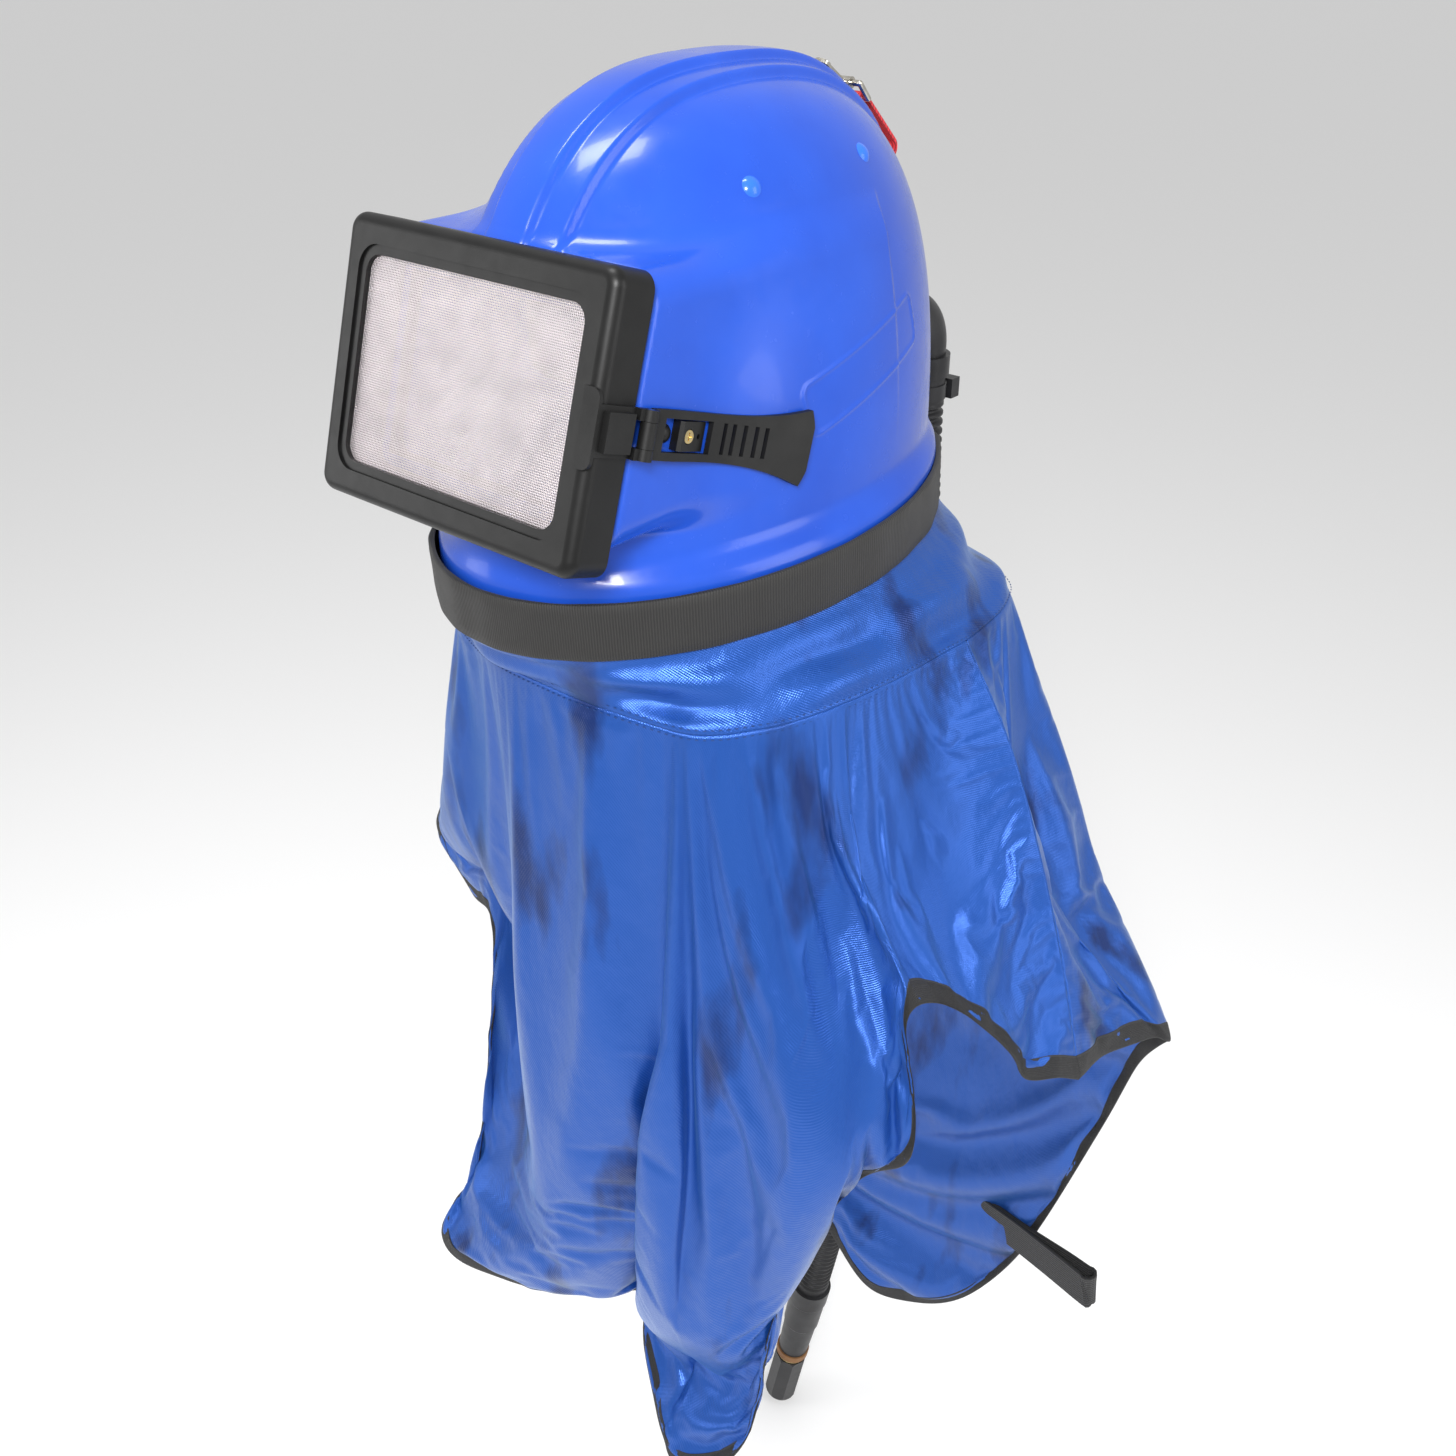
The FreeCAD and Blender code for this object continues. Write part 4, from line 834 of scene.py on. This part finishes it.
def cape():
    """Front and back panels, sewn together down the left side."""
    front_folds = (
        (0.44, 0.415, 0.25, 0.016, -16), (0.475, 0.455, 0.2, 0.022, 12), (0.30, 0.27, 0.15, 0.02, -7),
        (0.36, 0.35, 0.3, 0.018, 6), (0.60, 0.545, 0.2, 0.028, -9), (0.66, 0.62, 0.15, 0.022, 7),
        (0.735, 0.70, 0.2, 0.02, -8), (0.80, 0.80, 0.25, 0.018, 6), (0.87, 0.88, 0.2, 0.018, -8),
    )
    back_folds = (
        (0.10, 0.12, 0.2, 0.025, 8), (0.19, 0.17, 0.25, 0.02, -8), (0.33, 0.36, 0.2, 0.03, -7),
        (0.5, 0.5, 0.2, 0.04, -6), (0.64, 0.62, 0.2, 0.03, -7), (0.80, 0.82, 0.2, 0.025, 8),
    )
    front, front_tape, grid, area = cape_panel("bib_cloth", "cape_front", FRONT_COLUMNS, front_folds, 0.035)
    side = grid[:, -1]
    seam_out = normals(grid)[:, -2]
    seam = stitches("shoulder_stitch", side + seam_out * 0.8 + (grid[:, -3] - side) * 0.4, seam_out)
    back, back_tape, grid, area = cape_panel("back_cloth", "cape_back", BACK_COLUMNS, back_folds, 0.03)


def side_strap(name, node, sign):
    """Doubled elastic webbing: out along one layer, round the end and back along the other."""
    route = even(through([(sign * x, y, z) for x, y, z in STRAP_ROUTE], 10), 22)
    way = np.gradient(route, axis=0)
    way /= np.linalg.norm(way, axis=1, keepdims=True)
    wide = np.array((0.0, -0.12, 1.0))
    flat = np.cross(way, wide)
    flat /= np.linalg.norm(flat, axis=1, keepdims=True)
    gap = 1.4 + 3.2 * soft_step(np.linspace(0, 1, len(route)), 0.3, 1)[:, None]
    upper, lower = route + flat * gap, route - flat * gap
    turn = [route[-1] + flat[-1] * gap[-1] * math.cos(a) + way[-1] * gap[-1] * math.sin(a)
            for a in np.linspace(0, math.pi, 9)[1:-1]]
    path = np.concatenate([upper, turn, lower[::-1]])
    half, thick = STRAP_WIDTH / 2, 0.8
    outline = [(-half, -thick), (-half + 1, -thick - 0.3), (half - 1, -thick - 0.3), (half, -thick),
               (half, thick), (half - 1, thick + 0.3), (-half + 1, thick + 0.3), (-half, thick)]
    points, faces = sweep(path, outline, wide)
    lengths = np.concatenate([[0], np.cumsum(np.linalg.norm(np.diff(path, axis=0), axis=1))])
    uvs = [(s, a) for s in lengths for a, _ in outline]
    thing = piece(name, points, faces, STRAP, uvs=uvs, smooth=False)
    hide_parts(node)


# ---- air hose ------------------------------------------------------------------------------------

def hose_line(count):
    """Evenly spaced points read from the hose's own NURBS spline, in millimetres."""
    curve = bpy.data.curves.new("hose_line", "CURVE")
    curve.dimensions = "3D"
    curve.resolution_u = 24
    line = curve.splines.new("NURBS")
    line.points.add(len(HOSE_ROUTE) - 1)
    for point, place_mm in zip(line.points, HOSE_ROUTE):
        point.co = (*[v * MM for v in place_mm], 1)
    line.order_u = 3
    line.use_endpoint_u = True
    holder = bpy.data.objects.new("hose_line", curve)
    bpy.context.scene.collection.objects.link(holder)
    bpy.context.view_layer.update()
    mesh = bpy.data.meshes.new_from_object(holder)
    points = np.array([v.co for v in mesh.vertices]) / MM
    bpy.data.objects.remove(holder)
    return even(points, count)


def hose():
    """Corrugated breathing hose with plain ends, a mesh tube along hose_line."""
    rings, around = 1300, 28
    pitch, middle_radius, ridge, steepness = 6.4, 14.7, 1.3, 2.2
    line = hose_line(rings)
    length = np.linalg.norm(np.diff(line, axis=0), axis=1).sum()
    s = np.linspace(0, length, rings)
    plain = 1 - soft_step(s, 16, 22) * soft_step(length - s, 8, 14)
    wave = middle_radius + ridge * np.tanh(steepness * np.cos(2 * np.pi * s / pitch))
    radius = wave * (1 - plain) + HOSE_RADIUS * plain
    ways = np.gradient(line, axis=0)
    ways /= np.linalg.norm(ways, axis=1, keepdims=True)
    side = np.cross(ways, (0, 1.0, 0))
    side /= np.linalg.norm(side, axis=1, keepdims=True)
    up = np.cross(ways, side)
    angle = 2 * np.pi * np.arange(around) / around
    points = (line[:, None] + radius[:, None, None] * (side[:, None] * np.cos(angle)[None, :, None]
                                                     + up[:, None] * np.sin(angle)[None, :, None]))
    faces = grid_faces(rings, around, wrap=True)
    faces.append(tuple(range(around)))
    faces.append(tuple((rings - 1) * around + i for i in reversed(range(around))))
    thing = piece("breathing_hose", points.reshape(-1, 3), faces, HOSE)
    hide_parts("air_hose")


# ---- harness -------------------------------------------------------------------------------------

def sweatband():
    """Brow pad, remeshed evenly and rounded off."""
    thing = cloned("sweatband", "brow_pad", PAD)
    remesh = thing.modifiers.new("even", "REMESH")
    remesh.mode = "VOXEL"
    remesh.voxel_size = 1.6 * MM
    soften = thing.modifiers.new("soften", "SMOOTH")
    soften.iterations = 8
    baked(thing)
    thing.data.polygons.foreach_set("use_smooth", [True] * len(thing.data.polygons))


def soft_straps():
    """Webbing of the harness and of the hanging loop."""
    cloned("crown_webbing_left", "crown_strap_left", DARK_WEB)
    cloned("crown_webbing_right", "crown_strap_right", DARK_WEB)
    cloned("hanging_webbing", "hang_loop", RED, body="hanger")


# ---- view ----------------------------------------------------------------------------------------

def camera():
    """Camera at the photograph's viewing angle."""
    data = bpy.data.cameras.new("view")
    data.lens = 36.7
    data.sensor_width = 36
    data.shift_x = -0.0027
    data.shift_y = -0.0055
    eye = bpy.data.objects.new("view", data)
    bpy.context.scene.collection.objects.link(eye)
    eye.location = EYE
    turn, dip = math.radians(EYE_TURN), math.radians(EYE_DIP)
    look = Vector((-math.sin(turn) * math.cos(dip), math.cos(turn) * math.cos(dip), -math.sin(dip)))
    eye.rotation_euler = look.to_track_quat("-Z", "Y").to_euler()
    bpy.context.scene.camera = eye


def lamp(name, place_m, aim, size, power):
    """Soft white light from a rectangle that faces aim."""
    data = bpy.data.lights.new(name, "AREA")
    data.shape = "RECTANGLE"
    data.size, data.size_y = size
    data.energy = power
    thing = bpy.data.objects.new(name, data)
    bpy.context.scene.collection.objects.link(thing)
    thing.location = place_m
    thing.rotation_euler = (Vector(aim) - Vector(place_m)).to_track_quat("-Z", "Y").to_euler()


def floor():
    corners = [(x * FLOOR_REACH, y * FLOOR_REACH, FLOOR_Z) for x, y in ((-1, -1), (1, -1), (1, 1), (-1, 1))]
    mesh = bpy.data.meshes.new("floor")
    mesh.from_pydata(corners, [], [(0, 1, 2, 3)])
    mesh.materials.append(shader("floor_white", (0.93, 0.93, 0.93), 0.9))
    thing = bpy.data.objects.new("floor", mesh)
    bpy.context.scene.collection.objects.link(thing)


def lights():
    lamp("key", (0.85, -1.15, 0.75), (0, 0, -0.3), (0.4, 0.4), 32)
    lamp("crown_light", (-0.3, -0.25, 1.7), (0, 0, 0), (0.4, 0.8), 18)
    lamp("fill", (1.6, 0.4, 0.2), (0, 0, -0.4), (0.8, 1.2), 9)
    lamp("left_fill", (-1.4, -1.3, 0.1), (0, 0, -0.4), (0.8, 1.2), 8)
    world = bpy.data.worlds.new("pale")
    world.use_nodes = True
    world.node_tree.nodes["Background"].inputs["Color"].default_value = (1, 1, 1, 1)
    world.node_tree.nodes["Background"].inputs["Strength"].default_value = WORLD_STRENGTH
    bpy.context.scene.world = world
    bpy.context.scene.view_settings.view_transform = "Standard"


camera()
floor()
lights()
finish_nodes()
shell()
rim_band()
mesh_screen()
hose()
sweatband()
soft_straps()
yoke()
cape()
side_strap("arm_strap_left", "side_strap_left", 1)
side_strap("arm_strap_right", "side_strap_right", -1)
